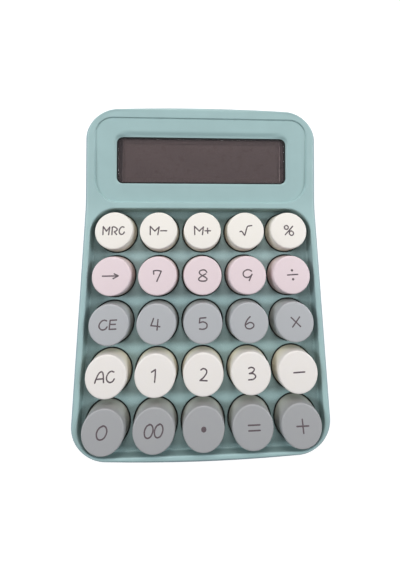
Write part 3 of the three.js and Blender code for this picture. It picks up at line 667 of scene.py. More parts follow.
def moulded_plastic(name, colour, roughness, depth=0.006):
    """Moulded plastic: a fine spark-eroded grain, a faint drift of colour and of polish, and painted
    shade: bluish on the case's rounded outer edge, darker on its front, and deep between other faces."""
    finish = Finish(name, colour, roughness)
    finish.mottle(9.0, 0.025).polish(1.6, roughness - 0.05, roughness + 0.05)
    # Painted shade: a bluish darkening on the case's rounded outer edge, where it leans away from the light
    rear, up = finish.facing()
    outer = finish.outermost(CASE_CORNER - 2.8, CASE_CORNER - 2.2)
    edge = finish.product(finish.ranged(up, 0, 1, 0.0, 0.25), outer)
    leaning = finish.ranged(up, 1, 0, 0.5, 0.95)
    finish.paint_shade_by(finish.product(edge, leaning), EDGE_PAINTED_SHADE)
    # Painted shade on the outer edge's forward-leaning front part, which faces away from the light
    forward = finish.ranged(rear, 1, 0, -0.7, -0.28)
    finish.paint_shade_by(finish.product(edge, forward), FRONT_PAINTED_SHADE)
    # Painted shade deep between faces, by how little sky the faces within 12 mm leave open
    level = finish.ranged(up, 0.5, 1, 0.35, 0.92)
    closed = finish.ranged(finish.openness(12.0), 1, 0, 0.08, 0.62)
    finish.paint_shade_by(finish.product(level, closed), CREVICE_PAINTED_SHADE)
    finish.grain((0.16, depth), (0.55, depth * 0.6))
    return finish.material


def keycap_plastic(name, colour, foot):
    """Key plastic: satin tops over sides that turn creamier towards the foot, by the rise attribute,
    and painted near-black under the deck, as the shade in the gap where the cap runs in its guide."""
    finish = Finish(name, colour, 0.42)
    rise = finish.add("ShaderNodeAttribute", attribute_name="rise").outputs["Fac"]
    drift = finish.ranged(finish.noise(3.5), 0.93, 1.0)
    side = finish.blend(finish.product(finish.ranged(rise, 0, 1, 0.15, 0.92), drift), foot, colour)
    # Painted shade: near black below the deck, where the gap round the key lies in shade
    painted_gap_shade = (0.02, 0.02, 0.02)
    finish.drive("Base Color", finish.blend(finish.ranged(rise, 0, 1, -0.05, 0.0), painted_gap_shade, side))
    finish.polish(0.9, 0.36, 0.48).grain((0.14, 0.004), (1.4, 0.006))
    return finish.material


def ink(name, colour):
    """Printed ink: matt, a little uneven in cover."""
    return Finish(name, colour, 0.6).mottle(0.5, 0.12).grain((0.12, 0.004)).material


def smoked_lens(name, colour, cover):
    """A smoked lens: glossy, with a faint orange peel, partly clear over the display."""
    finish = Finish(name, colour, 0.07)
    finish.set(**{"Alpha": cover, "IOR": 1.49})
    finish.polish(6.0, 0.05, 0.1).grain((5.0, 0.004))
    return finish.material


def rubber(name, colour):
    """Rubber: matt, with a pitted grain and a dusty drift."""
    finish = Finish(name, colour, 0.85)
    finish.mottle(2.5, 0.2).polish(0.8, 0.75, 0.95).grain((0.2, 0.03), (0.9, 0.02))
    return finish.material


def turned_metal(name, colour, roughness, stretch=(1.0, 1.0, 1.0)):
    """Plated metal: fine drawn lines along one axis, and smudges in the polish."""
    finish = Finish(name, colour, roughness, 1.0)
    finish.mottle(1.2, 0.1).polish(0.7, roughness - 0.08, roughness + 0.12)
    finish.grain((0.12, 0.004, stretch), (0.8, 0.006))
    return finish.material


def board_laminate(name, colour):
    """Circuit board: solder mask over a woven laminate."""
    finish = Finish(name, colour, 0.4)
    wave = finish.add("ShaderNodeTexWave", finish.where(), scale=0.9, bands_direction="X")
    share = finish.ranged(wave.outputs["Fac"], 0, 1, 0.4, 0.6)
    dark = tuple(0.8 * value for value in colour)
    finish.drive("Base Color", finish.blend(share, dark, colour)).grain((0.3, 0.01))
    return finish.material


def liquid_crystal(name, colour):
    """Liquid crystal glass: a flat brown-grey field with a faint sheen of unevenness."""
    finish = Finish(name, colour, 0.3)
    finish.mottle(14.0, 0.06).polish(3.0, 0.25, 0.35).grain((0.2, 0.002))
    return finish.material


def cell_jacket(name, colour):
    """Printed foil sleeve of a dry cell: glossy, with faint seams round it."""
    finish = Finish(name, colour, 0.3, 0.5)
    finish.mottle(4.0, 0.08).polish(1.5, 0.24, 0.4).grain((0.6, 0.01, (0.1, 1.0, 1.0)))
    return finish.material


# What a user may change
def length_property(name, description, default, low, high):
    """A length that a user may change, from millimetres."""
    return FloatProperty(
        name=name, description=description, unit="LENGTH", precision=5,
        default=default * MM, min=low * MM, max=high * MM)


class CalculatorSizes(bpy.types.PropertyGroup):
    """Sizes of the finish, over the fixed sizes of the CAD part."""

    rim_fillet: length_property("Rim fillet", "Radius of the case's outer upper edge", 1.7, 0.5, 2)
    tray_fillet: length_property(
        "Tray fillet", "Radius where the rim turns down into the key tray", 0.6, 0.2, 0.75)
    deck_fillet: length_property(
        "Deck fillet", "Radius where the tray's wall meets the deck", 0.6, 0.2, 0.65)
    hole_radius: length_property("Key hole radius", "Radius of the holes round the keys", 9.8, 9.6, 9.85)
    hole_fillet: length_property(
        "Key hole edge", "Radius of the eased edge of the key holes", 0.22, 0.1, 0.3)
    groove_width: length_property(
        "Panel step", "Width of the sloping step round the display panel", 0.9, 0.5, 1.2)
    wall: length_property("Skin thickness", "Thickness of the upper housing's skin", 0.42, 0.3, 0.45)
    cap_fillet: length_property("Keycap edge", "Radius of the keycaps' upper edge", 0.7, 0.3, 1.2)
    legend_stroke: length_property("Legend stroke", "Width of the legends' lines", 0.62, 0.3, 1)
    legend_rise: length_property(
        "Legend thickness", "How far the printed legends stand on the caps", 0.03, 0.01, 0.1)
    key_sides: IntProperty(
        name="Keycap sides", description="Number of faces round a keycap",
        default=96, min=24, max=160)


def colour_property(name, description, red, green, blue):
    """A colour that a user may change, from its display values."""
    return FloatVectorProperty(
        name=name, description=description, subtype="COLOR", size=3, min=0, max=1,
        default=colour_of(red, green, blue))


class CalculatorColours(bpy.types.PropertyGroup):
    """Colours of the case, the keys, the legends and the window."""

    case: colour_property("Case", "Moulded case", 160, 188, 189)
    key_row_one: colour_property("Keys, row 1", "Warm white keys", 240, 234, 228)
    key_row_two: colour_property("Keys, row 2", "Pink keys", 228, 210, 215)
    key_row_three: colour_property("Keys, row 3", "Grey keys", 176, 177, 181)
    key_row_four: colour_property("Keys, row 4", "White keys", 234, 228, 225)
    key_row_five: colour_property("Keys, row 5", "Darker grey keys", 160, 160, 163)
    legend: colour_property("Legends", "Printed signs on the keys", 84, 72, 77)
    lens: colour_property("Window", "Smoked lens", 56, 50, 53)
    liquid_crystal: colour_property("Display", "Liquid crystal glass", 168, 142, 141)


def sizes_in_mm():
    """The user's sizes as a dictionary in millimetres."""
    group = bpy.context.scene.calculator_sizes
    lengths = [name for name in CalculatorSizes.__annotations__ if name != "key_sides"]
    return {name: getattr(group, name) / MM for name in lengths}


def chosen(name):
    """One of the user's colours."""
    return tuple(getattr(bpy.context.scene.calculator_colours, name))


def shared_finish(name, make, *values):
    """A material that several pieces use, made once."""
    if name not in bpy.data.materials:
        make(name, *values)
    return bpy.data.materials[name]


def case_plastic():
    """The case's plastic."""
    return shared_finish("case_plastic", moulded_plastic, chosen("case"), 0.5)


# Upper housing
def deck_cells(skin, sizes):
    """The deck as one polar grid round each key hole. A ray from the hole's centre runs from the
    hole's wall over its eased edge to the nearer of the cell's square and the tray's outline.
    Returns the angles, from the deck's middle, of the points on that outline."""
    foot = sizes["deck_fillet"]
    hole = sizes["hole_radius"]
    edge = sizes["hole_fillet"]
    half = KEY_PITCH / 2
    places = (np.arange(COLUMNS) - (COLUMNS - 1) / 2) * KEY_PITCH
    x, y = (grid.reshape(-1, 1) for grid in np.meshgrid(places, places))
    side = TRAY_HALF_WIDTH - foot
    rear = TRAY_REAR - foot
    left = np.where(x == places[0], -side - x, -half)
    right = np.where(x == places[-1], side - x, half)
    start = np.where(y == places[0], -side - y, -half)
    end = np.where(y == places[-1], rear - y, half)
    turns = np.stack([np.arctan2(start, right), np.arctan2(end, right), np.arctan2(end, left),
                      np.arctan2(start, left) + 2 * np.pi], axis=-1)[:, 0]
    turns = np.concatenate([turns, turns[:, :1] + 2 * np.pi], axis=1)
    steps = 18
    share = np.arange(steps) / steps
    angle = (turns[:, :-1, None] * (1 - share) + turns[:, 1:, None] * share).reshape(len(x), -1)
    _, _, square = outline_hits(angle, left, right, start, end)
    corner = TRAY_CORNER - foot
    _, _, tray = outline_hits(angle, -side - x, side - x, -side - y, rear - y, corner, corner)
    reach = np.minimum(square, tray)
    ray = np.stack([np.cos(angle), np.sin(angle)], axis=-1)
    middle = np.concatenate([x, y], axis=1)[:, None]

    def ring(radius, height):
        """A loop round each hole, at a radius for each ray."""
        flat = middle + ray * np.broadcast_to(radius, angle.shape)[..., None]
        return with_height(flat, height)

    top_row = (DECK_THICKNESS - edge) / 3
    rows = [ring(hole, z) for z in (-DECK_THICKNESS, -edge - top_row, -edge)]
    for turn in quarter(5)[1:]:
        rows.append(ring(hole + edge * (1 - math.cos(turn)), -edge * (1 - math.sin(turn))))
    first = hole + edge
    rows += [ring(first + (reach - first) * t, 0.0) for t in np.linspace(0, 1, 5)[1:]]
    grids = np.stack(rows, axis=1)
    for grid in grids:
        skin.grid(on_deck(grid))
    on_tray = tray <= square + 1e-9
    points = (middle + ray * reach[..., None])[on_tray]
    return ordered(np.arctan2(points[:, 1], points[:, 0]))


def tray_wall(skin, sizes, angle):
    """The key tray's wall: a quarter circle up from the deck, an upright wall, and a quarter circle
    out onto the rim, carried round the tray's outline. Returns its last loop."""
    foot = sizes["deck_fillet"]
    top = sizes["tray_fillet"]
    side = TRAY_HALF_WIDTH - foot
    corner = TRAY_CORNER - foot
    loop, normal = round_hits(angle, side, -side, TRAY_REAR - foot, corner, corner)
    wall = loop + normal * foot
    rows = [with_height(wall - normal * foot * (1 - math.sin(turn)), foot * (1 - math.cos(turn)))
            for turn in quarter(5)]
    crest = under_rim(wall, DECK, top)
    rows += list(straight(rows[-1], crest, 5)[1:])
    for turn in quarter(6)[1:]:
        flat = wall + normal * top * (1 - math.cos(turn))
        rows.append(under_rim(flat, DECK, top * (1 - math.sin(turn))))
    rows = on_deck(np.stack(rows))
    skin.grid(rows)
    return rows[-1]


def rim_rows(inner, outer, count):
    """Rows on the rim's surface between two loops: flat steps between them, lifted to its height."""
    flat = between(inner[:, :2], outer[:, :2], count)
    return with_height(flat, rim_height(flat[..., 1]))


def front_rim(skin, sizes, inner):
    """The rim round the key tray, from the tray's edge to the case's, and to the line where the
    display's slope begins. Returns the outer loop."""
    inset = sizes["rim_fillet"]
    half = CASE_HALF_WIDTH - inset
    centre = np.array([0, DECK_PLACE])
    around = inner[:, :2] - centre
    angle = np.arctan2(around[:, 1], around[:, 0])
    for x in (-half, half):
        corner = math.atan2(BEND_PLACE - DECK_PLACE, x)
        angle[np.argmin(np.abs(angle - corner))] = corner
    front = CASE_FRONT + inset - DECK_PLACE
    outer, _ = round_hits(angle, half, front, BEND_PLACE - DECK_PLACE, CASE_CORNER - inset, 0.0)
    outer = outer + centre
    skin.grid(rim_rows(inner, outer, 4))
    return outer


def display_panel(skin, sizes, bridge):
    """The display's part of the upper housing: the rim, the step down to the panel, the panel, the
    soft bevel round the window, the lens's ledge and the opening under it. Every loop is met by the
    same rays from the display's middle. Returns the outer loop."""
    inset = sizes["rim_fillet"]
    half = CASE_HALF_WIDTH - inset
    corner = CASE_CORNER - inset
    rear = CASE_REAR - inset
    side_count, rear_count = 40, 46
    side = np.linspace(BEND_PLACE, rear - corner, side_count)
    turn = quarter(24)
    right = np.concatenate([
        np.stack([np.full(side_count, half), side], axis=-1),
        np.stack([half - corner * (1 - np.cos(turn)), rear - corner * (1 - np.sin(turn))], axis=-1),
        np.stack([np.linspace(half - corner, 0, rear_count), np.full(rear_count, rear)], axis=-1),
    ])
    outer = np.concatenate([right, right * np.array([-1, 1]), bridge])
    seen = to_group(with_height(outer, rim_height(outer[:, 1])), DISPLAY)
    angle = np.arctan2(seen[:, 1], seen[:, 0])
    order = np.argsort(angle)
    order = order[np.append(np.diff(angle[order]) > 1e-7, True)]
    outer, angle = outer[order], angle[order]

    length = PANEL_HALF_LENGTH
    outline, normal = round_hits(angle, PANEL_HALF_WIDTH, -length, length, *PANEL_CORNERS)
    lead = 0.3
    edge = under_rim(outline + normal * lead, DISPLAY)
    skin.grid(rim_rows(on_display(edge), outer, 5))

    step_share = 0.85
    groove_start, groove_share = 0.3, 0.6
    rows = []
    for t in np.linspace(0, 1, 21):
        flat = outline + normal * (lead - sizes["groove_width"] * t)
        drop = 1 - float(eased(t / step_share))
        across = min(max((t - groove_start) / groove_share, 0), 1)
        groove = GROOVE_DEPTH * math.sin(math.pi * across) ** 2
        rows.append(with_height(flat, under_rim(flat, DISPLAY)[:, 2] * drop - groove))
    skin.grid(on_display(np.stack(rows)))

    side, front, back = WINDOW_HALF_WIDTH, -WINDOW_HALF_LENGTH, WINDOW_HALF_LENGTH
    bevel, _ = round_hits(
        angle, side + BEVEL_SIDE, front - BEVEL_FRONT, back + BEVEL_REAR, WINDOW_CORNER, BEVEL_CORNER)
    window, _ = round_hits(angle, side, front, back, WINDOW_CORNER, WINDOW_CORNER)
    panel = straight(rows[-1][:, :2], bevel, 8)
    skin.grid(on_display(with_height(panel, 0.0)))
    share = np.linspace(0, 1, 11)[:, None]
    slope = between(bevel, window, 10)
    skin.grid(on_display(with_height(slope, lens_height(slope[..., 1]) * eased(share))))

    sill = lens_height(window[:, 1])
    bottom = with_height(window, sill - WINDOW_THICKNESS - PARTING_GAP)
    skin.grid(on_display(np.stack([with_height(window, sill), bottom])))
    ledge, opening_corner = LEDGE_WIDTH, 0.4
    opening, _ = round_hits(
        angle, side - ledge, front + ledge, back - ledge, opening_corner, opening_corner)
    floor = with_height(opening, lens_height(opening[:, 1]) - WINDOW_THICKNESS - PARTING_GAP)
    skin.grid(on_display(np.stack([bottom, floor])))
    skin.grid(on_display(np.stack([floor, with_height(opening, -PANEL_THICKNESS)])))
    return outer


def case_wall(skin, sizes, loop):
    """The case's outside: a quarter circle from the rim out to the wall, the wall down to the parting
    line, and a flange that turns in under it."""
    inset = sizes["rim_fillet"]
    angle = ordered(np.arctan2(loop[:, 1], loop[:, 0]))
    half = CASE_HALF_WIDTH - inset
    corner = CASE_CORNER - inset
    edge, normal = round_hits(angle, half, CASE_FRONT + inset, CASE_REAR - inset, corner, corner)
    rows = []
    for turn in quarter(8):
        flat = edge + normal * inset * math.sin(turn)
        rows.append(with_height(flat, rim_height(flat[:, 1]) - inset * (1 - math.cos(turn))))
    bottom = PARTING + PARTING_GAP / 2
    rows += list(between(rows[-1], with_height(rows[-1][:, :2], bottom + EDGE_EASE), 6)[1:])
    for turn in quarter(4)[1:]:
        flat = edge + normal * (inset - EDGE_EASE * (1 - math.cos(turn)))
        rows.append(with_height(flat, bottom + EDGE_EASE * (1 - math.sin(turn))))
    flange_reaches = (1.2, 2.3)
    rows += [with_height(edge - normal * (reach - inset), bottom) for reach in flange_reaches]
    skin.grid(np.stack(rows))


def make_upper_housing():
    """The whole skin of the upper housing, welded from its patches and given its thickness."""
    sizes = sizes_in_mm()
    skin = Skin()
    angle = deck_cells(skin, sizes)
    crest = tray_wall(skin, sizes, angle)
    outer = front_rim(skin, sizes, crest)
    half = CASE_HALF_WIDTH - sizes["rim_fillet"]
    on_bridge = (np.abs(outer[:, 1] - BEND_PLACE) < 1e-6) & (np.abs(outer[:, 0]) < half - 1e-6)
    rear = display_panel(skin, sizes, outer[on_bridge])
    behind = rear[:, 1] > BEND_PLACE + 1e-6
    case_wall(skin, sizes, np.concatenate([outer[~on_bridge], rear[behind]]))
    rim = SIDE_WALL - sizes["tray_fillet"]
    piece = skin.piece("upper_housing_skin", lambda points: bowed(points, 0, rim))
    heights = np.empty(len(piece.data.polygons) * 3)
    piece.data.polygons.foreach_get("normal", heights)
    if heights[2::3].sum() < 0:
        piece.data.flip_normals()
    solidify = piece.modifiers.new("wall", "SOLIDIFY")
    solidify.thickness = sizes["wall"] * MM
    solidify.offset = -1
    crease(piece, 50)
    return dress(piece, case_plastic(), "housing", "mint_plastic", "upper_housing")


# Base
def base_inset(height):
    """How far the base's lower edge is drawn in at a height: a quarter ellipse."""
    share = np.clip((height - BASE_BOTTOM) / BASE_EDGE_HEIGHT, 0, 1)
    return BASE_UNDERCUT * (1 - np.sqrt(1 - (1 - share) ** 2))


def base_loops(grow=0.0):
    """Loops of the base's outside, from the bottom face's edge up to the parting line."""
    outline, normal = rounded_outline(
        CASE_HALF_WIDTH, CASE_FRONT, CASE_REAR, CASE_CORNER, CASE_CORNER, 0.6)
    share = 1 - np.cos(quarter(12))
    loops = [with_height(outline - normal * (base_inset(z) - grow), z)
             for z in BASE_BOTTOM + BASE_EDGE_HEIGHT * share]
    return outline, normal, loops


def bow_base(points):
    """The base's points with the case's bow, whole at its edge and gone at its lip."""
    return bowed(points, BASE_UNDERCUT, LIP_OUTSIDE)


def make_base_solid():
    """The base's closed shell: its outside, its eased upper edge, the lip and the hollow inside."""
    outline, normal, loops = base_loops()
    top = PARTING - PARTING_GAP / 2
    for turn in quarter(4):
        flat = outline - normal * EDGE_EASE * (1 - math.cos(turn))
        loops.append(with_height(flat, top - EDGE_EASE * (1 - math.sin(turn))))
    lip = ((LIP_OUTSIDE, top), (LIP_OUTSIDE, LIP_TOP), (LIP_INSIDE, LIP_TOP), (LIP_INSIDE, FLOOR_TOP))
    loops += [with_height(outline - normal * inset, height) for inset, height in lip]
    return Skin().solid(np.stack(loops)).piece("lower_housing_shell", bow_base)


def node_box(name):
    """The lowest and highest corners of a CAD node's box, in millimetres."""
    return tuple(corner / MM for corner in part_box(name))


def node_centre(name):
    """The middle of a CAD node's box, in millimetres."""
    low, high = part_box(name)
    return (low + high) / 2 / MM


def flared_cutters(name, places, radius, depth):
    """Round cutters for recesses in the bottom face, each flared at its mouth to ease the edge."""
    skin = Skin()
    flare = 0.35
    mouth = radius + flare
    profile = profile_of(
        (0, BASE_BOTTOM - 1), (mouth, BASE_BOTTOM - 1), (mouth, BASE_BOTTOM - 0.01),
        arc(mouth, BASE_BOTTOM + flare, flare, 270, 180, 4), (radius, BASE_BOTTOM + depth),
        (0, BASE_BOTTOM + depth))
    for place in places:
        skin.grid(lathe_grid(profile, 64, place))
    return skin.piece(name)


SCREW_NAMES = tuple(
    f"case_screw_{place}_{side}" for place in ("front", "middle", "rear") for side in ("left", "right"))
FOOT_NAMES = tuple(f"foot_{place}_{side}" for place in ("front", "rear") for side in ("left", "right"))


def make_base():
    """The base: its shell joined to the screw pillars, the battery compartment and the door's rails,
    then cut for the screws, the feet, the door, its tongues and the cell."""
    screws = [tuple(node_centre(name))[:2] for name in SCREW_NAMES]
    feet = [tuple(node_centre(name))[:2] for name in FOOT_NAMES]
    door_low, door_high = node_box("battery_door")
    half = door_high[0] - TONGUE_REACH
    front = door_low[1] - DOOR_GAP
    middle = CASE_REAR - CELL_SETBACK
    rear = middle + (middle - front)
    room = CELL_HALF_ROOM
    wall = COMPARTMENT_WALL
    room_top = CELL_ROOM_HEIGHTS[1]
    rail_end = CASE_REAR - LIP_INSIDE - 0.2
    groove = half + GROOVE_REACH
    door = half + DOOR_GAP

    base = make_base_solid()
    pillars = Skin()
    radius, bottom = PILLAR_RADIUS, JOINT_BOTTOM
    profile = [(0, bottom), (radius, bottom), (radius, PILLAR_TOP), (0, PILLAR_TOP)]
    for centre in screws:
        pillars.grid(lathe_grid(profile, 48, centre))
    carve(base, pillars.piece("pillars"), "UNION")
    joined = (
        ("compartment", -room - wall, room + wall, front - wall, rear + wall, bottom, room_top + wall, 1.2),
        ("left_rail", -half - RAIL_WIDTH, -half, front - wall, rail_end, bottom, RAIL_TOP),
        ("right_rail", half, half + RAIL_WIDTH, front - wall, rail_end, bottom, RAIL_TOP),
    )
    for values in joined:
        carve(base, block(*values), "UNION")
    carve(base, flared_cutters("recesses", screws, *SCREW_RECESS), "DIFFERENCE")
    carve(base, flared_cutters("seats", feet, *FOOT_SEAT), "DIFFERENCE")
    cuts = (
        ("doorway", -door, door, front, CASE_REAR + 1, BASE_BOTTOM - 2, DOORWAY_TOP, 0.6),
        ("grooves", -groove, groove, front + 0.05, CASE_REAR + 1.5, *GROOVE_HEIGHTS, 0.1),
        ("cell_room", -room, room, front + 0.02, rear, *CELL_ROOM_HEIGHTS, 0.5),
    )
    for values in cuts:
        carve(base, block(*values), "DIFFERENCE")
    crease_carved(base)
    return dress(base, case_plastic(), "housing", "mint_plastic", "lower_housing")


def make_battery_door():
    """The battery door: a plate with two tongues, trimmed by the base's curved edge, and cut with
    grip grooves that bend round the finger."""
    low, high = node_box("battery_door")
    half = high[0] - TONGUE_REACH
    door = block(
        "battery_door_plate", -half, half, low[1], CASE_REAR + 2, BASE_BOTTOM - 1, high[2], 0.5, 0.12)
    outline, normal, loops = base_loops(-0.005)
    foot = with_height(outline - normal * (BASE_UNDERCUT - 0.02), BASE_BOTTOM)
    above = with_height(outline, 7)
    outside = Skin().solid(np.stack([foot, *loops[1:], above])).piece("outside", bow_base)
    carve(door, outside, "INTERSECT")
    tongues = block("tongues", -high[0], high[0], low[1], CASE_REAR - LIP_INSIDE, *TONGUE_HEIGHTS, 0.4)
    carve(door, tongues, "UNION")
    grips = Skin()
    share = np.linspace(-1, 1, 41)[:, None]
    turn = full_turn(16)
    swell = np.sqrt(np.clip(1 - share**8, 0, 1))
    x = np.broadcast_to(share * GRIP_HALF_LENGTH, (41, 16))
    z = BASE_BOTTOM + GRIP_DEPTH * swell * np.sin(turn)
    for step in range(GRIP_COUNT):
        middle = low[1] + GRIP_START + GRIP_PITCH * step - GRIP_BEND * share**2
        y = middle + GRIP_HALF_WIDTH * swell * np.cos(turn)
        grips.grid(np.stack([x, y, z], axis=-1))
    carve(door, grips.piece("grips"), "DIFFERENCE")
    crease_carved(door)
    return dress(door, case_plastic(), "battery_door", "mint_plastic", "battery_door")


def make_feet():
    """Rubber feet: round pads with an eased lower edge and a shallow dish underneath."""
    material = shared_finish("pad_rubber", rubber, colour_of(52, 52, 54))
    edge, depth = 0.4, 0.18
    rim_inset, dish_inset, slope_width = 0.9, 1.3, 0.5
    for name in FOOT_NAMES:
        low, high = node_box(name)
        centre = ((low + high) / 2)[:2]
        radius = (high[0] - low[0]) / 2
        dish = [(radius - dish_inset - slope_width * t, depth * float(eased(t)))
                for t in np.linspace(0, 1, 6)]
        profile = profile_of(
            (0, depth), dish[::-1], (radius - rim_inset, 0), arc(radius - edge, edge, edge, 270, 360, 6),
            (radius, high[2]), (0, high[2]))
        piece = lathe(f"{name}_pad", profile, 64, centre)
        crease(piece)
        dress(piece, material, "housing", "foot_rubber", name)


def make_case_screws():
    """Pan-head screws seen from below. The head is a polar grid whose height dips in a cross: full
    depth in two crossed slots, easing out at their walls."""
    material = shared_finish("zinc_plate", turned_metal, colour_of(196, 197, 199), 0.3)
    head_radius, head_edge, head_height = 2.5, 0.45, 1.6
    sides = 96
    angle = full_turn(sides)
    radius = np.linspace(0, 1, 25)[:, None] ** 0.8 * head_radius
    x, y = radius * np.cos(angle), radius * np.sin(angle)
    dome = head_edge * (radius / head_radius) ** 4
    slots = [eased((0.42 - np.abs(across)) / 0.16) * eased((1.5 - np.abs(along)) / 0.5)
             for across, along in ((x, y), (y, x))]
    dip = 0.75 * np.maximum(*slots)
    for name in SCREW_NAMES:
        low, high = node_box(name)
        centre = np.array([*((low + high) / 2)[:2], 0])
        bottom, top = low[2], high[2]
        seat = bottom + head_height
        head = [(head_radius, bottom + head_edge), (head_radius, seat)]
        shank = [(1, seat), (1, top - 1), (0, top)]
        skin = Skin()
        skin.grid(np.stack([x, y, bottom + dome + dip], axis=-1) + centre)
        skin.grid(lathe_grid(head + shank, sides) + centre)
        piece = skin.piece(f"{name}_turned")
        crease(piece, 40)
        dress(piece, material, "housing", "screw_steel", name)


# Keys
def cap_profile(fillet):
    """Radius and height of a keycap's section: stem, hollow, flange, tapered side, rounded edge and
    crowned top."""
    roof = CAP_HEIGHT - CAP_WALL
    bevel = 0.15
    lean = math.degrees(math.atan2(CAP_BASE_RADIUS - CAP_TOP_RADIUS, CAP_HEIGHT - FLANGE_TOP))
    edge_radius = CAP_TOP_RADIUS - fillet
    side_top = arc(edge_radius, CAP_HEIGHT - fillet, fillet, lean, 90, 9)
    side = between(np.array([[[CAP_BASE_RADIUS, FLANGE_TOP]]]), side_top[:1][None], 8)[:, 0]
    share = np.linspace(1, 0, 9)[1:, None]
    crown = np.concatenate([edge_radius * share, CAP_HEIGHT + CAP_CROWN * (1 - share**2)], axis=1)
    return profile_of(
        (0, CAP_BOTTOM), (STEM_RADIUS, CAP_BOTTOM), (STEM_RADIUS, roof), (CAP_TOP_RADIUS - CAP_WALL, roof),
        (CAP_BASE_RADIUS - CAP_WALL, CAP_BOTTOM), (FLANGE_RADIUS - bevel, CAP_BOTTOM),
        (FLANGE_RADIUS, CAP_BOTTOM + bevel), (FLANGE_RADIUS, FLANGE_TOP), side, side_top[1:], crown)


def key_places():
    """Name, row, and the key's place on the deck, for each key."""
    for row, names in enumerate(KEY_NAMES):
        for column, name in enumerate(names):
            x = (column - (COLUMNS - 1) / 2) * KEY_PITCH
            y = ((ROWS - 1) / 2 - row) * KEY_PITCH
            yield name, row, np.array([x, y, 0.0])


def make_keycaps():
    """The 25 keycaps, turned from one section, each with its height as the attribute rise."""
    sizes = sizes_in_mm()
    skin = Skin()
    skin.grid(lathe_grid(cap_profile(sizes["cap_fillet"]), bpy.context.scene.calculator_sizes.key_sides))
    points, faces = skin.weld()
    rise = np.clip(points[:, 2] / CAP_HEIGHT, -1, 1).astype(np.float32)
    for name, row, place in key_places():
        piece = make_piece(f"keycap_{name}", on_deck(points + place), faces)
        attribute = piece.data.attributes.new("rise", "FLOAT", "POINT")
        attribute.data.foreach_set("value", rise)
        slot, colour, foot = KEY_ROWS[row]
        material = shared_finish(f"{slot}_satin", keycap_plastic, chosen(colour), colour_of(*foot))
        crease(piece, 50)
        dress(piece, material, f"key_{name}", slot, f"key_{name}")


# Dome mat
def make_dome_mat():
    """The silicone mat under the keys: a sheet with holes for the board's bosses, and a hollow dome
    under each key."""
    silicone = shared_finish("silicone_rubber", rubber, colour_of(201, 204, 202))
    loops = box_loops(MAT_HALF_WIDTH, *MAT_ENDS, MAT_CORNER, MAT_BOTTOM, MAT_TOP, 0.15)
    sheet = Skin().solid(loops).piece("dome_mat_sheet", on_deck)
    cutters = Skin()
    low, high = MAT_BOTTOM - 1, MAT_TOP + 1
    radius = MAT_HOLE_RADIUS
    for i in range(6):
        place = to_group(node_centre(f"board_screw_{i + 1}"), DECK)[:2]
        cutters.grid(lathe_grid([(0, low), (radius, low), (radius, high), (0, high)], 48, place))
    carve(sheet, cutters.piece("mat_holes", on_deck), "DIFFERENCE")
    crease(sheet, 32)
    dress(sheet, silicone, "housing", "silicone", "rubber_dome_mat")

    top_radius, base_radius = DOME_RADII
    edge = 0.25
    profile = profile_of(
        (0, DOME_TOP), arc(top_radius - edge, DOME_TOP - edge, edge, 90, 25, 4), (base_radius, MAT_TOP),
        (base_radius - 0.6, MAT_TOP), (top_radius - 0.9, DOME_TOP - 1), (0, DOME_TOP - 1))
    skin = Skin()
    skin.grid(lathe_grid(profile, 48))
    points, faces = skin.weld()
    for name, _, place in key_places():
        dome = make_piece(f"dome_{name}", on_deck(points + place), faces)
        crease(dome, 50)
        dress(dome, silicone, "housing", "silicone")
        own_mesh(dome)
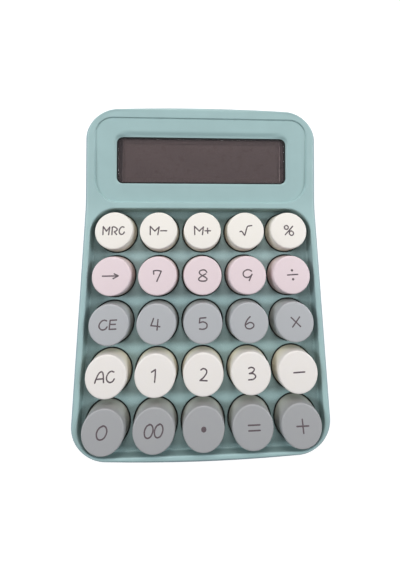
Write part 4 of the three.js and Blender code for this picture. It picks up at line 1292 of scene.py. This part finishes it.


# Each sign is a list of strokes through points in a box from 0 to 1, x then y upwards.
# A stroke of one point is a dot.
SIGNS = {
    "M": [[(0.03, 0), (0, 1)], [(0, 1), (0.53, 0.43)], [(0.53, 0.43), (1, 0.93)], [(1, 0.93), (0.88, 0)]],
    "R": [[(0.03, 0), (0.05, 0.95)],
          [(0, 0.93), (0.25, 1), (0.62, 0.92), (0.95, 0.72), (0.88, 0.52), (0.48, 0.36)],
          [(0.48, 0.36), (0.9, 0.02)]],
    "C": [[(0.9, 0.93), (0.6, 1), (0.25, 0.86), (0, 0.5), (0.08, 0.18), (0.4, 0), (0.78, 0.07), (1, 0.3)]],
    "E": [[(0.08, 0.98), (0, 0.02)], [(0.08, 0.98), (1, 1)], [(0.06, 0.53), (0.86, 0.55)],
          [(0, 0.02), (0.96, 0.04)]],
    "A": [[(0, 0), (0.15, 0.4), (0.38, 0.82), (0.66, 1), (0.86, 0.84), (0.93, 0.45), (0.97, 0.03)],
          [(0.1, 0.32), (0.95, 0.37)]],
    "minus": [[(0, 0.5), (1, 0.5)]],
    "slanting minus": [[(0, 0), (0.5, 0.55), (1, 1)]],
    "plus": [[(0, 0.5), (1, 0.5)], [(0.46, 1), (0.5, 0)]],
    "slanting plus": [[(0, 0.495), (1, 0.51)], [(0.49, 1), (0.54, 0)]],
    "root": [[(0, 0.37), (0.09, 0.42), (0.18, 0.36), (0.37, 0)],
             [(0.37, 0), (0.45, 0.24), (0.54, 0.62), (0.63, 0.88), (0.78, 0.96), (1, 1)]],
    "percent": [[(0.06, 0.06), (0.97, 0.92)],
                [(0.24, 1), (0.06, 0.93), (0, 0.78), (0.1, 0.63), (0.26, 0.6), (0.43, 0.7), (0.45, 0.86),
                 (0.36, 0.97), (0.24, 1)],
                [(0.7, 0.44), (0.56, 0.32), (0.54, 0.15), (0.68, 0.02), (0.84, 0), (0.98, 0.1), (1, 0.28),
                 (0.88, 0.4), (0.7, 0.44)]],
    "arrow": [[(0, 0.53), (1, 0.57)], [(0.74, 1), (1, 0.57)], [(1, 0.57), (0.69, 0)]],
    "seven": [[(0.04, 0.66), (0, 0.96)], [(0, 0.96), (0.45, 1), (1, 0.93)],
              [(1, 0.93), (0.72, 0.45), (0.46, 0)]],
    "eight": [[(0.98, 0.78), (0.82, 0.95), (0.5, 1), (0.15, 0.89), (0.1, 0.7), (0.38, 0.52), (0.75, 0.37),
               (1, 0.2), (0.86, 0.04), (0.5, 0), (0.12, 0.05), (0, 0.2), (0.24, 0.38), (0.6, 0.54),
               (0.86, 0.64)]],
    "nine": [[(0.95, 0.87), (0.75, 0.98), (0.44, 1), (0.1, 0.84), (0, 0.6), (0.13, 0.36), (0.45, 0.28),
              (0.8, 0.38), (1, 0.57)], [(1, 0.57), (0.66, 0)]],
    "divide": [[(0, 0.48), (1, 0.53)], [(0.46, 0.93)], [(0.52, 0.07)]],
    "four": [[(0.28, 1), (0.14, 0.68), (0, 0.38)], [(0, 0.38), (0.5, 0.34), (1, 0.28)],
             [(0.78, 0.9), (0.7, 0)]],
    "five": [[(0.1, 0.96), (0.85, 1)], [(0.1, 0.96), (0.02, 0.56)],
             [(0.02, 0.56), (0.5, 0.64), (0.92, 0.5), (1, 0.26), (0.82, 0.07), (0.45, 0), (0.05, 0.03)]],
    "six": [[(0.6, 1), (0.26, 0.72), (0.03, 0.36), (0.15, 0.08), (0.55, 0), (0.94, 0.16), (0.94, 0.4),
             (0.58, 0.52), (0.12, 0.36)]],
    "times": [[(0, 0.96), (1, 0.04)], [(0.97, 1), (0.1, 0)]],
    "one": [[(0, 0.8), (0.9, 1)], [(0.9, 1), (0.88, 0.5), (0.78, 0)]],
    "two": [[(0.14, 0.9), (0.5, 1), (0.9, 0.88), (0.95, 0.64), (0.52, 0.28), (0, 0.04)],
            [(0, 0.04), (1, 0)]],
    "three": [[(0.05, 0.93), (0.45, 1), (0.84, 0.86), (0.62, 0.62), (0.12, 0.5)],
              [(0.12, 0.5), (0.68, 0.48), (1, 0.26), (0.66, 0.04), (0, 0)]],
    "zero": [[(0.6, 0.97), (0.27, 0.86), (0.03, 0.5), (0.1, 0.13), (0.4, 0), (0.77, 0.13), (1, 0.52),
              (0.92, 0.86), (0.66, 1), (0.47, 0.96)]],
    "equals": [[(0, 0.97), (1, 1)], [(0.02, 0), (1, 0.02)]],
    "dot": [[(0.5, 0.5)]],
}
# For each key: the width and height of its legend, and its signs with the share of the width and
# of the height that each takes
LEGENDS = {
    "memory_recall": (10.4, 4.4, [("M", 0, 0.31, 0, 1), ("R", 0.42, 0.67, 0, 0.97),
                                  ("C", 0.76, 1, 0.03, 0.97)]),
    "memory_minus": (8.3, 4.5, [("M", 0, 0.54, 0, 1), ("minus", 0.64, 1, 0.42, 0.52)]),
    "memory_plus": (8.1, 4.5, [("M", 0, 0.56, 0, 1), ("plus", 0.66, 1, 0.15, 0.78)]),
    "square_root": (6.3, 5.3, [("root", 0, 1, 0, 1)]),
    "percent": (4.8, 5.3, [("percent", 0, 1, 0, 1)]),
    "backspace": (7.6, 2.7, [("arrow", -0.05, 0.95, 0, 1)]),
    "seven": (4.1, 5.4, [("seven", 0, 1, 0, 1)]),
    "eight": (4.4, 5.6, [("eight", 0, 1, 0, 1)]),
    "nine": (4.7, 5.4, [("nine", 0, 1, 0, 1)]),
    "divide": (5.4, 5.3, [("divide", 0.08, 1.08, 0, 1)]),
    "clear_entry": (8, 4.6, [("C", -0.04, 0.43, 0, 1), ("E", 0.56, 0.96, 0.03, 1)]),
    "four": (4.5, 5.4, [("four", -0.08, 0.92, 0, 1)]),
    "five": (4.1, 5.4, [("five", 0, 1, 0, 1)]),
    "six": (4.6, 5.7, [("six", 0, 1, 0, 1)]),
    "multiply": (4.6, 4.8, [("times", 0.09, 1.09, 0, 1)]),
    "all_clear": (8.6, 5, [("A", -0.04, 0.43, 0, 0.97), ("C", 0.56, 0.96, 0.02, 1)]),
    "one": (2.4, 5.5, [("one", -0.3, 0.7, 0, 1)]),
    "two": (3.6, 5.4, [("two", 0, 1, 0, 1)]),
    "three": (3.7, 5.5, [("three", 0.1, 1.1, 0, 1)]),
    "minus": (5.4, 0.87, [("slanting minus", 0.08, 1.08, 0, 1)]),
    "zero": (4.8, 5.6, [("zero", -0.08, 0.92, 0, 1)]),
    "double_zero": (8.2, 5.6, [("zero", 0, 0.47, 0, 1), ("zero", 0.54, 1, 0.02, 1)]),
    "point": (0, 0, [("dot", 0, 1, 0, 1)]),
    "equals": (5.4, 2.7, [("equals", 0.08, 1.08, 0, 1)]),
    "plus": (5.6, 5.8, [("slanting plus", 0.06, 1.06, 0, 1)]),
}


def smooth_path(points):
    """A Catmull-Rom curve through a stroke's points, eight steps to a span; two points stay a line."""
    points = np.asarray(points, float)
    if len(points) == 1:
        points = np.concatenate([points - [[0.005, 0]], points + [[0.005, 0]]])
    first = 2 * points[:1] - points[1:2]
    last = 2 * points[-1:] - points[-2:-1]
    if len(points) > 3 and np.allclose(points[0], points[-1]):
        first, last = points[-2:-1], points[1:2]
    run = np.concatenate([first, points, last])
    t = np.linspace(0, 1, 9)[:-1, None]
    before, here, there, after = (run[i : len(run) - 3 + i, None] for i in range(4))
    curve = 0.5 * (2 * here + (there - before) * t + (2 * before - 5 * here + 4 * there - after) * t**2
                   + (3 * here - before - 3 * there + after) * t**3)
    return np.concatenate([curve.reshape(-1, 2), points[-1:]])


def stroke_grid(path, width, rise):
    """A printed line: a flattened section carried along a path, with half-round ends. The width is
    the root of the circle's equation at the ends, and the top follows the keycap's crown."""
    step = np.gradient(path, axis=0)
    along = step / np.hypot(*step.T)[:, None]
    half = width / 2
    count = 5
    turn = np.radians(np.linspace(90, 15, count))
    lead = path[0] - along[0] * (half * np.sin(turn))[:, None]
    tail = path[-1] + along[-1] * (half * np.sin(turn[::-1]))[:, None]
    middle = np.concatenate([lead, path, tail])
    reach = half * np.concatenate([np.cos(turn), np.ones(len(path)), np.cos(turn[::-1])])
    along = np.concatenate([np.repeat(along[:1], count, 0), along, np.repeat(along[-1:], count, 0)])
    side = np.stack([-along[:, 1], along[:, 0]], axis=-1)
    around = full_turn(12)
    flat = middle[:, None] + side[:, None] * (reach[:, None] * np.cos(around))[..., None]
    lift = np.sign(np.sin(around)) * np.abs(np.sin(around)) ** 0.5
    level = np.minimum(1, 4 * reach / half)[:, None] * lift * rise
    crown = CAP_CROWN * (1 - np.sum(flat**2, axis=-1) / (CAP_TOP_RADIUS - 0.7) ** 2)
    return with_height(flat, CAP_HEIGHT + crown + level)


def make_legends():
    """The printed sign of each key, as raised ink that rides on its key."""
    sizes = sizes_in_mm()
    material = shared_finish("legend_ink", ink, chosen("legend"))
    stroke = sizes["legend_stroke"]
    point_width, dot_width = 2.2, 1.15
    for name, row, place in key_places():
        width, height, signs = LEGENDS[name]
        room = np.array([max(width - stroke, 0), max(height - stroke, 0)])
        dot = point_width if name == "point" else dot_width
        skin = Skin()
        for sign, left, right, low, high in signs:
            corner, size = np.array([left, low]), np.array([right - left, high - low])
            for points in SIGNS[sign]:
                flat = (corner + np.asarray(points) * size - 0.5) * room
                line = dot if len(points) == 1 else stroke
                skin.grid(stroke_grid(smooth_path(flat), line, sizes["legend_rise"]))
        piece = skin.piece(f"legend_{name}", lambda points: on_deck(points + place))
        dress(piece, material, f"key_{name}", KEY_ROWS[row][0])


# Display
# The lens's gap to its recess and the ease of its edge, in millimetres, and how much it covers
LENS_GAP = 0.72
LENS_EASE = 0.3
LENS_COVER = 0.35
# Sections of the bands round the window: the inset and the height of each corner
# The seat is black rubber, and its black also stands for the shadow in the gap round the lens: painted
# shade
SEAT_SECTION = ((0.03, -0.3), (0.68, -0.3), (0.68, -1.75), (0.03, -1.75))
PRINT_SECTION = ((0.7, -1.54), (2.9, -1.54), (2.9, -1.6), (0.7, -1.6))
# The strips at the window's ends, painted shade and a painted highlight along the display's edges:
# display colour, half width, and inset of the middle line
STRIPS = {"shade": ((112, 95, 97), 0.9, 1.6), "cut": ((205, 180, 180), 0.14, 2.66)}
STRIP_LEVEL = -1.56
STRIP_HEIGHTS = (0.02, 0.06)
# The display's front glass: half its width and length, and its lowest and highest place over the
# display's CAD glass, whose top lies GLASS_DROP under the panel
GLASS_DROP = 0.3
FILM_HALVES = (39.6, 9.6)
FILM_HEIGHTS = (0.01, 1.55)


def window_loops(*pairs):
    """Loops round the window, each at an inset and a height above the lens's upper face."""
    outline, normal = rounded_outline(
        WINDOW_HALF_WIDTH, -WINDOW_HALF_LENGTH, WINDOW_HALF_LENGTH, WINDOW_CORNER, WINDOW_CORNER, 0.35)
    flats = [outline - normal * inset for inset, _ in pairs]
    return np.stack([
        with_height(flat, lens_height(flat[:, 1]) + height) for flat, (_, height) in zip(flats, pairs)])


def set_in_window(skin, name, material, *nodes, slot="smoked_lens", sharp=35):
    """A creased piece of the window, in the display's frame."""
    piece = skin.piece(name, on_display)
    crease(piece, sharp)
    return dress(piece, material, "housing", slot, *nodes)


def make_lens():
    """The smoked lens: a plate with its upper edge eased by a quarter circle."""
    pairs = [(LENS_GAP, -WINDOW_THICKNESS)]
    pairs += [(LENS_GAP + LENS_EASE * (1 - math.cos(turn)), -LENS_EASE * (1 - math.sin(turn)))
              for turn in quarter(5)]
    lens = Skin().solid(window_loops(*pairs))
    material = shared_finish("smoked_acrylic", smoked_lens, chosen("lens"), LENS_COVER)
    set_in_window(lens, "window_lens", material, "display_window", sharp=40)


def make_window_edges():
    """The black seat round the lens, whose black also stands for the shadow in its gap, the print
    behind its border, painted shade and painted highlight strips at the window's ends, and the
    display's front glass.
    """
    black = shared_finish("window_seat", rubber, colour_of(12, 12, 13))
    tint = shared_finish("window_tint", ink, colour_of(160, 134, 133))
    bands = (("window_seat", SEAT_SECTION, black), ("window_print", PRINT_SECTION, tint))
    for name, section, material in bands:
        band = Skin()
        band.grid(window_loops(*section, section[0]))
        set_in_window(band, name, material)
    length = WINDOW_HALF_LENGTH - 1.1
    # Painted shade strips, and thin painted highlight strips where the display film's edge catches light
    for kind, (colour, half, inset) in STRIPS.items():
        painted_strip = shared_finish(f"window_{kind}", ink, colour_of(*colour))
        for side, turn in (("left", -1), ("right", 1)):
            loops = box_loops(half, -length, length, 0.9 * half, *STRIP_HEIGHTS)
            loops[..., 0] += turn * (WINDOW_HALF_WIDTH - inset)
            loops[..., 2] += lens_height(loops[..., 1]) + STRIP_LEVEL
            set_in_window(Skin().solid(loops), f"window_{kind}_{side}", painted_strip)
    glass_top = -PANEL_THICKNESS - GLASS_DROP
    half_width, half_length = FILM_HALVES
    bottom, top = (glass_top + height for height in FILM_HEIGHTS)
    film = Skin().solid(box_loops(half_width, -half_length, half_length, 0.4, bottom, top, 0.06))
    crystal = shared_finish("lcd_film", liquid_crystal, chosen("liquid_crystal"))
    set_in_window(film, "display_film", crystal, slot="lcd_glass")


# Battery
def make_battery():
    """The dry cell, turned finely from one section: its hollow foot with a crimped ring, its rounded
    sleeve, the crimp at its other end, and the small round terminal."""
    low, high = node_box("battery_cell")
    centre_y = (low[1] + high[1]) / 2
    centre_z = (low[2] + high[2]) / 2
    length = high[0] - low[0]
    radius = (high[1] - low[1]) / 2
    body = length - 1.2
    hollow, edge, tip = 0.25, 0.5, 0.25
    crimp, groove = radius - 1.3, body - 0.3
    terminal = 1.9
    profile = profile_of(
        (0, hollow), (crimp - 0.3, hollow), (crimp, 0), (radius - edge, 0),
        arc(radius - edge, edge, edge, 270, 360, 5)[1:], (radius, body - edge),
        arc(radius - edge, body - edge, edge, 0, 90, 5)[1:], (crimp + 0.2, body), (crimp, groove),
        (terminal + 0.4, groove), (terminal + 0.2, body), (terminal, body), (terminal, length - tip),
        arc(terminal - tip, length - tip, tip, 0, 90, 4)[1:], (0, length))

    def lay(points):
        """The upright cell's points laid along X, in its place."""
        x, y, z = points.T
        return np.stack([low[0] + z, centre_y + x, centre_z + y], axis=-1)

    cell = lathe("battery_cell_turned", profile, 96, move=lay)
    crease(cell, 40)
    material = shared_finish("cell_sleeve", cell_jacket, colour_of(150, 152, 156))
    dress(cell, material, "housing", "cell_jacket", "battery_cell")


# CAD nodes that stay, with their finishes
def dress_inner_parts():
    """Finishes of the CAD pieces that stay as they are, inside the case."""
    nickel = ("sprung_nickel", turned_metal, colour_of(205, 202, 194), 0.28)
    steel = ("zinc_plate", turned_metal, colour_of(196, 197, 199), 0.3)
    finishes = {
        "lcd_panel": ("display_glass", liquid_crystal, colour_of(126, 118, 110)),
        "lcd_cradle": ("inner_moulding", moulded_plastic, colour_of(217, 217, 212), 0.55),
        "display_ribbon": ("ribbon_foil", ink, colour_of(176, 138, 74)),
        "circuit_board": ("solder_mask", board_laminate, colour_of(47, 107, 69)),
        "controller_chip": ("epoxy_blob", moulded_plastic, colour_of(26, 26, 27), 0.35),
        "capacitor": ("capacitor_sleeve", cell_jacket, colour_of(42, 53, 80)),
        "battery_spring_contact": nickel,
        "battery_plate_contact": nickel,
        "battery_wire_black": ("black_wire_sleeve", rubber, colour_of(30, 30, 31)),
        "battery_wire_red": ("red_wire_sleeve", rubber, colour_of(165, 31, 31)),
    }
    for i in range(6):
        finishes[f"board_screw_{i + 1}"] = steel
    for side in ("left", "right"):
        finishes[f"cradle_screw_{side}"] = steel
    for name, values in finishes.items():
        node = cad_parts[name]
        material = shared_finish(*values)
        if node.material_slots:
            node.material_slots[0].material = material
        else:
            node.data.materials.append(material)


# Stage: each soft box's place in metres, width and height, level and colour
SOFT_BOXES = {
    "left_box": ((-0.8, 0.08, 0.6), 0.3, 0.35, 0.54, (0.93, 0.98, 1.0)),
    "right_box": ((0.8, 0.08, 0.6), 0.3, 0.35, 0.54, (0.93, 0.98, 1.0)),
    "rear_box": ((0.0, 0.75, 0.85), 0.5, 0.5, 0.46, (1.0, 0.96, 0.92)),
}
LIT_POINT = (0, 0, 0.02)
SURROUND_LEVEL = 0.1
PAPER_COLOUR = (0.35, 0.35, 0.35, 1)
PAPER_GLOW = 0.8
FLOOR_HALF_WIDTH = 3000
FLOOR_HEIGHT = -0.05


def stage_finish():
    """The floor: white paper that keeps the object's shadow, and shows white to the camera, to gloss
    and to glass."""
    material = bpy.data.materials.new("white_sweep")
    material.use_nodes = True
    tree = Nodes(material.node_tree)
    tree.nodes.clear()
    paper = tree.add("ShaderNodeBsdfDiffuse")
    paper.inputs["Color"].default_value = PAPER_COLOUR
    glow = tree.add("ShaderNodeEmission")
    tree.links.new(seen_directly(tree, PAPER_GLOW), glow.inputs["Strength"])
    both = tree.add("ShaderNodeAddShader", paper.outputs[0], glow.outputs[0])
    tree.add("ShaderNodeOutputMaterial", both.outputs[0])
    return material


def seen_directly(tree, strength):
    """So much for rays from the camera, off gloss or through glass, and nothing for others."""
    path = tree.add("ShaderNodeLightPath").outputs
    total = path["Is Camera Ray"]
    for kind in ("Is Glossy Ray", "Is Transmission Ray"):
        total = tree.add("ShaderNodeMath", total, path[kind], operation="MAXIMUM").outputs[0]
    scaled = tree.add("ShaderNodeMath", total, operation="MULTIPLY")
    scaled.inputs[1].default_value = strength
    return scaled.outputs[0]


def make_world(level):
    """A plain surround: white where it is seen, and a soft even light at so much elsewhere."""
    world = bpy.data.worlds.new("surround")
    world.use_nodes = True
    tree = Nodes(world.node_tree)
    background = tree.nodes["Background"]
    background.inputs["Color"].default_value = (1, 1, 1, 1)
    total = tree.add("ShaderNodeMath", seen_directly(tree, 1 - level), operation="ADD")
    total.inputs[1].default_value = level
    tree.links.new(total.outputs[0], background.inputs["Strength"])
    bpy.context.scene.world = world


def area_light(name, place, width, height, level, colour):
    """A soft box that lights a surface facing it at the lit point as brightly as level: power is
    level times pi squared times the distance squared."""
    data = bpy.data.lights.new(name, "AREA")
    data.shape = "RECTANGLE"
    data.size = width
    data.size_y = height
    data.color = colour
    offset = Vector(LIT_POINT) - Vector(place)
    data.energy = level * math.pi**2 * offset.length_squared
    light = bpy.data.objects.new(name, data)
    light.location = place
    light.rotation_euler = offset.to_track_quat("-Z", "Y").to_euler()
    bpy.context.scene.collection.objects.link(light)


# The camera was found from the grid of keys: its lens and the picture's shift, its turns in radians,
# the deck's middle as it sees it, and the scale of that place.
CAMERA_LENS = 27
CAMERA_SHIFT = (-0.0087, -0.1993)
CAMERA_TURNS = (("Z", -0.0030), ("Y", 0.0485), ("X", -0.2133))
DECK_FROM_CAMERA = (-0.5622, -52.3863, -136.7015)
CAMERA_SCALE = 1.03


def make_camera():
    """The photograph's camera, found from the grid of keys in the deck's frame, with the picture's
    middle moved by shift because the photograph was cropped below its optical centre."""
    data = bpy.data.cameras.new("camera")
    data.sensor_fit = "HORIZONTAL"
    data.sensor_width = 36
    data.lens = CAMERA_LENS
    data.shift_x, data.shift_y = CAMERA_SHIFT
    data.clip_start = 0.01
    about_z, about_y, about_x = (Matrix.Rotation(turn, 3, axis) for axis, turn in CAMERA_TURNS)
    inverse = (about_z @ about_y @ about_x).transposed()
    tilt = Matrix.Rotation(DECK_TILT, 3, "X")
    deck = Vector(DECK_FROM_CAMERA) * CAMERA_SCALE
    place = tilt @ -(inverse @ deck) + Vector((0, DECK_PLACE, DECK_HEIGHT))
    camera = bpy.data.objects.new("camera", data)
    camera.matrix_world = Matrix.Translation(place * MM) @ (tilt @ inverse).to_4x4()
    bpy.context.scene.collection.objects.link(camera)
    bpy.context.scene.camera = camera


def make_stage():
    """Floor, lights, surround and camera."""
    side = np.linspace(-FLOOR_HALF_WIDTH, FLOOR_HALF_WIDTH, 3)
    x, y = np.meshgrid(side, side)
    skin = Skin()
    skin.grid(np.stack([x, y, np.full_like(x, FLOOR_HEIGHT)], axis=-1), closed=False)
    floor = skin.piece("floor")
    floor.data.materials.append(stage_finish())
    make_world(SURROUND_LEVEL)
    for name, values in SOFT_BOXES.items():
        area_light(name, *values)
    make_camera()
    bpy.context.scene.view_settings.view_transform = "Standard"


# Operators
class CALCULATOR_OT_upper_housing(bpy.types.Operator):
    """Make the skin of the upper housing, with its rim, key tray, deck and display panel"""

    bl_idname = "calculator.upper_housing"
    bl_label = "Upper housing"

    def execute(self, context):
        make_upper_housing()
        return {"FINISHED"}


class CALCULATOR_OT_base(bpy.types.Operator):
    """Make the base, with its screw recesses, foot seats and battery compartment"""

    bl_idname = "calculator.base"
    bl_label = "Base"

    def execute(self, context):
        make_base()
        return {"FINISHED"}


class CALCULATOR_OT_battery_door(bpy.types.Operator):
    """Make the battery door, with its tongues and grip grooves"""

    bl_idname = "calculator.battery_door"
    bl_label = "Battery door"

    def execute(self, context):
        make_battery_door()
        return {"FINISHED"}


class CALCULATOR_OT_feet(bpy.types.Operator):
    """Make the four rubber feet"""

    bl_idname = "calculator.feet"
    bl_label = "Feet"

    def execute(self, context):
        make_feet()
        return {"FINISHED"}


class CALCULATOR_OT_case_screws(bpy.types.Operator):
    """Make the six case screws"""

    bl_idname = "calculator.case_screws"
    bl_label = "Case screws"

    def execute(self, context):
        make_case_screws()
        return {"FINISHED"}


class CALCULATOR_OT_keycaps(bpy.types.Operator):
    """Make the 25 keycaps"""

    bl_idname = "calculator.keycaps"
    bl_label = "Keycaps"

    def execute(self, context):
        make_keycaps()
        return {"FINISHED"}


class CALCULATOR_OT_dome_mat(bpy.types.Operator):
    """Make the silicone mat and its 25 domes"""

    bl_idname = "calculator.dome_mat"
    bl_label = "Dome mat"

    def execute(self, context):
        make_dome_mat()
        return {"FINISHED"}


class CALCULATOR_OT_legends(bpy.types.Operator):
    """Make the printed legends on the keycaps"""

    bl_idname = "calculator.legends"
    bl_label = "Legends"

    def execute(self, context):
        make_legends()
        return {"FINISHED"}


class CALCULATOR_OT_window(bpy.types.Operator):
    """Make the smoked lens, its black seat, which also stands for the shadow in its gap, its border,
    painted shade and highlight strips, and the display's front glass
    """

    bl_idname = "calculator.window"
    bl_label = "Window"

    def execute(self, context):
        make_lens()
        make_window_edges()
        return {"FINISHED"}


class CALCULATOR_OT_battery(bpy.types.Operator):
    """Make the dry cell"""

    bl_idname = "calculator.battery"
    bl_label = "Battery"

    def execute(self, context):
        make_battery()
        return {"FINISHED"}


class CALCULATOR_OT_inner_parts(bpy.types.Operator):
    """Give the parts inside the case their finishes"""

    bl_idname = "calculator.inner_parts"
    bl_label = "Inner parts"

    def execute(self, context):
        dress_inner_parts()
        return {"FINISHED"}


class CALCULATOR_OT_stage(bpy.types.Operator):
    """Make the floor, the lights, the surround and the camera"""

    bl_idname = "calculator.stage"
    bl_label = "Stage"

    def execute(self, context):
        make_stage()
        return {"FINISHED"}


OPERATORS = (
    CALCULATOR_OT_stage,
    CALCULATOR_OT_upper_housing,
    CALCULATOR_OT_base,
    CALCULATOR_OT_battery_door,
    CALCULATOR_OT_feet,
    CALCULATOR_OT_case_screws,
    CALCULATOR_OT_keycaps,
    CALCULATOR_OT_dome_mat,
    CALCULATOR_OT_legends,
    CALCULATOR_OT_window,
    CALCULATOR_OT_battery,
    CALCULATOR_OT_inner_parts,
)


class CALCULATOR_PT_pieces(bpy.types.Panel):
    """Lists the calculator's pieces, sizes and colours"""

    bl_label = "Calculator"
    bl_idname = "CALCULATOR_PT_pieces"
    bl_space_type = "VIEW_3D"
    bl_region_type = "UI"
    bl_category = "Calculator"

    def draw(self, context):
        layout = self.layout
        for group in (context.scene.calculator_sizes, context.scene.calculator_colours):
            column = layout.column()
            for name in group.__annotations__:
                column.prop(group, name)
        column = layout.column()
        for operator in OPERATORS:
            column.operator(operator.bl_idname)


CLASSES = (CalculatorSizes, CalculatorColours, *OPERATORS, CALCULATOR_PT_pieces)


def register():
    """Registers the classes, and the sizes and colours on the scene."""
    for entry in CLASSES:
        bpy.utils.register_class(entry)
    bpy.types.Scene.calculator_sizes = PointerProperty(type=CalculatorSizes)
    bpy.types.Scene.calculator_colours = PointerProperty(type=CalculatorColours)


def unregister():
    """Undoes register."""
    del bpy.types.Scene.calculator_colours
    del bpy.types.Scene.calculator_sizes
    for entry in reversed(CLASSES):
        bpy.utils.unregister_class(entry)


def main():
    """Makes every piece in order."""
    register()
    for operator in OPERATORS:
        module, name = operator.bl_idname.split(".")
        getattr(getattr(bpy.ops, module), name)()


if __name__ == "__main__":
    main()
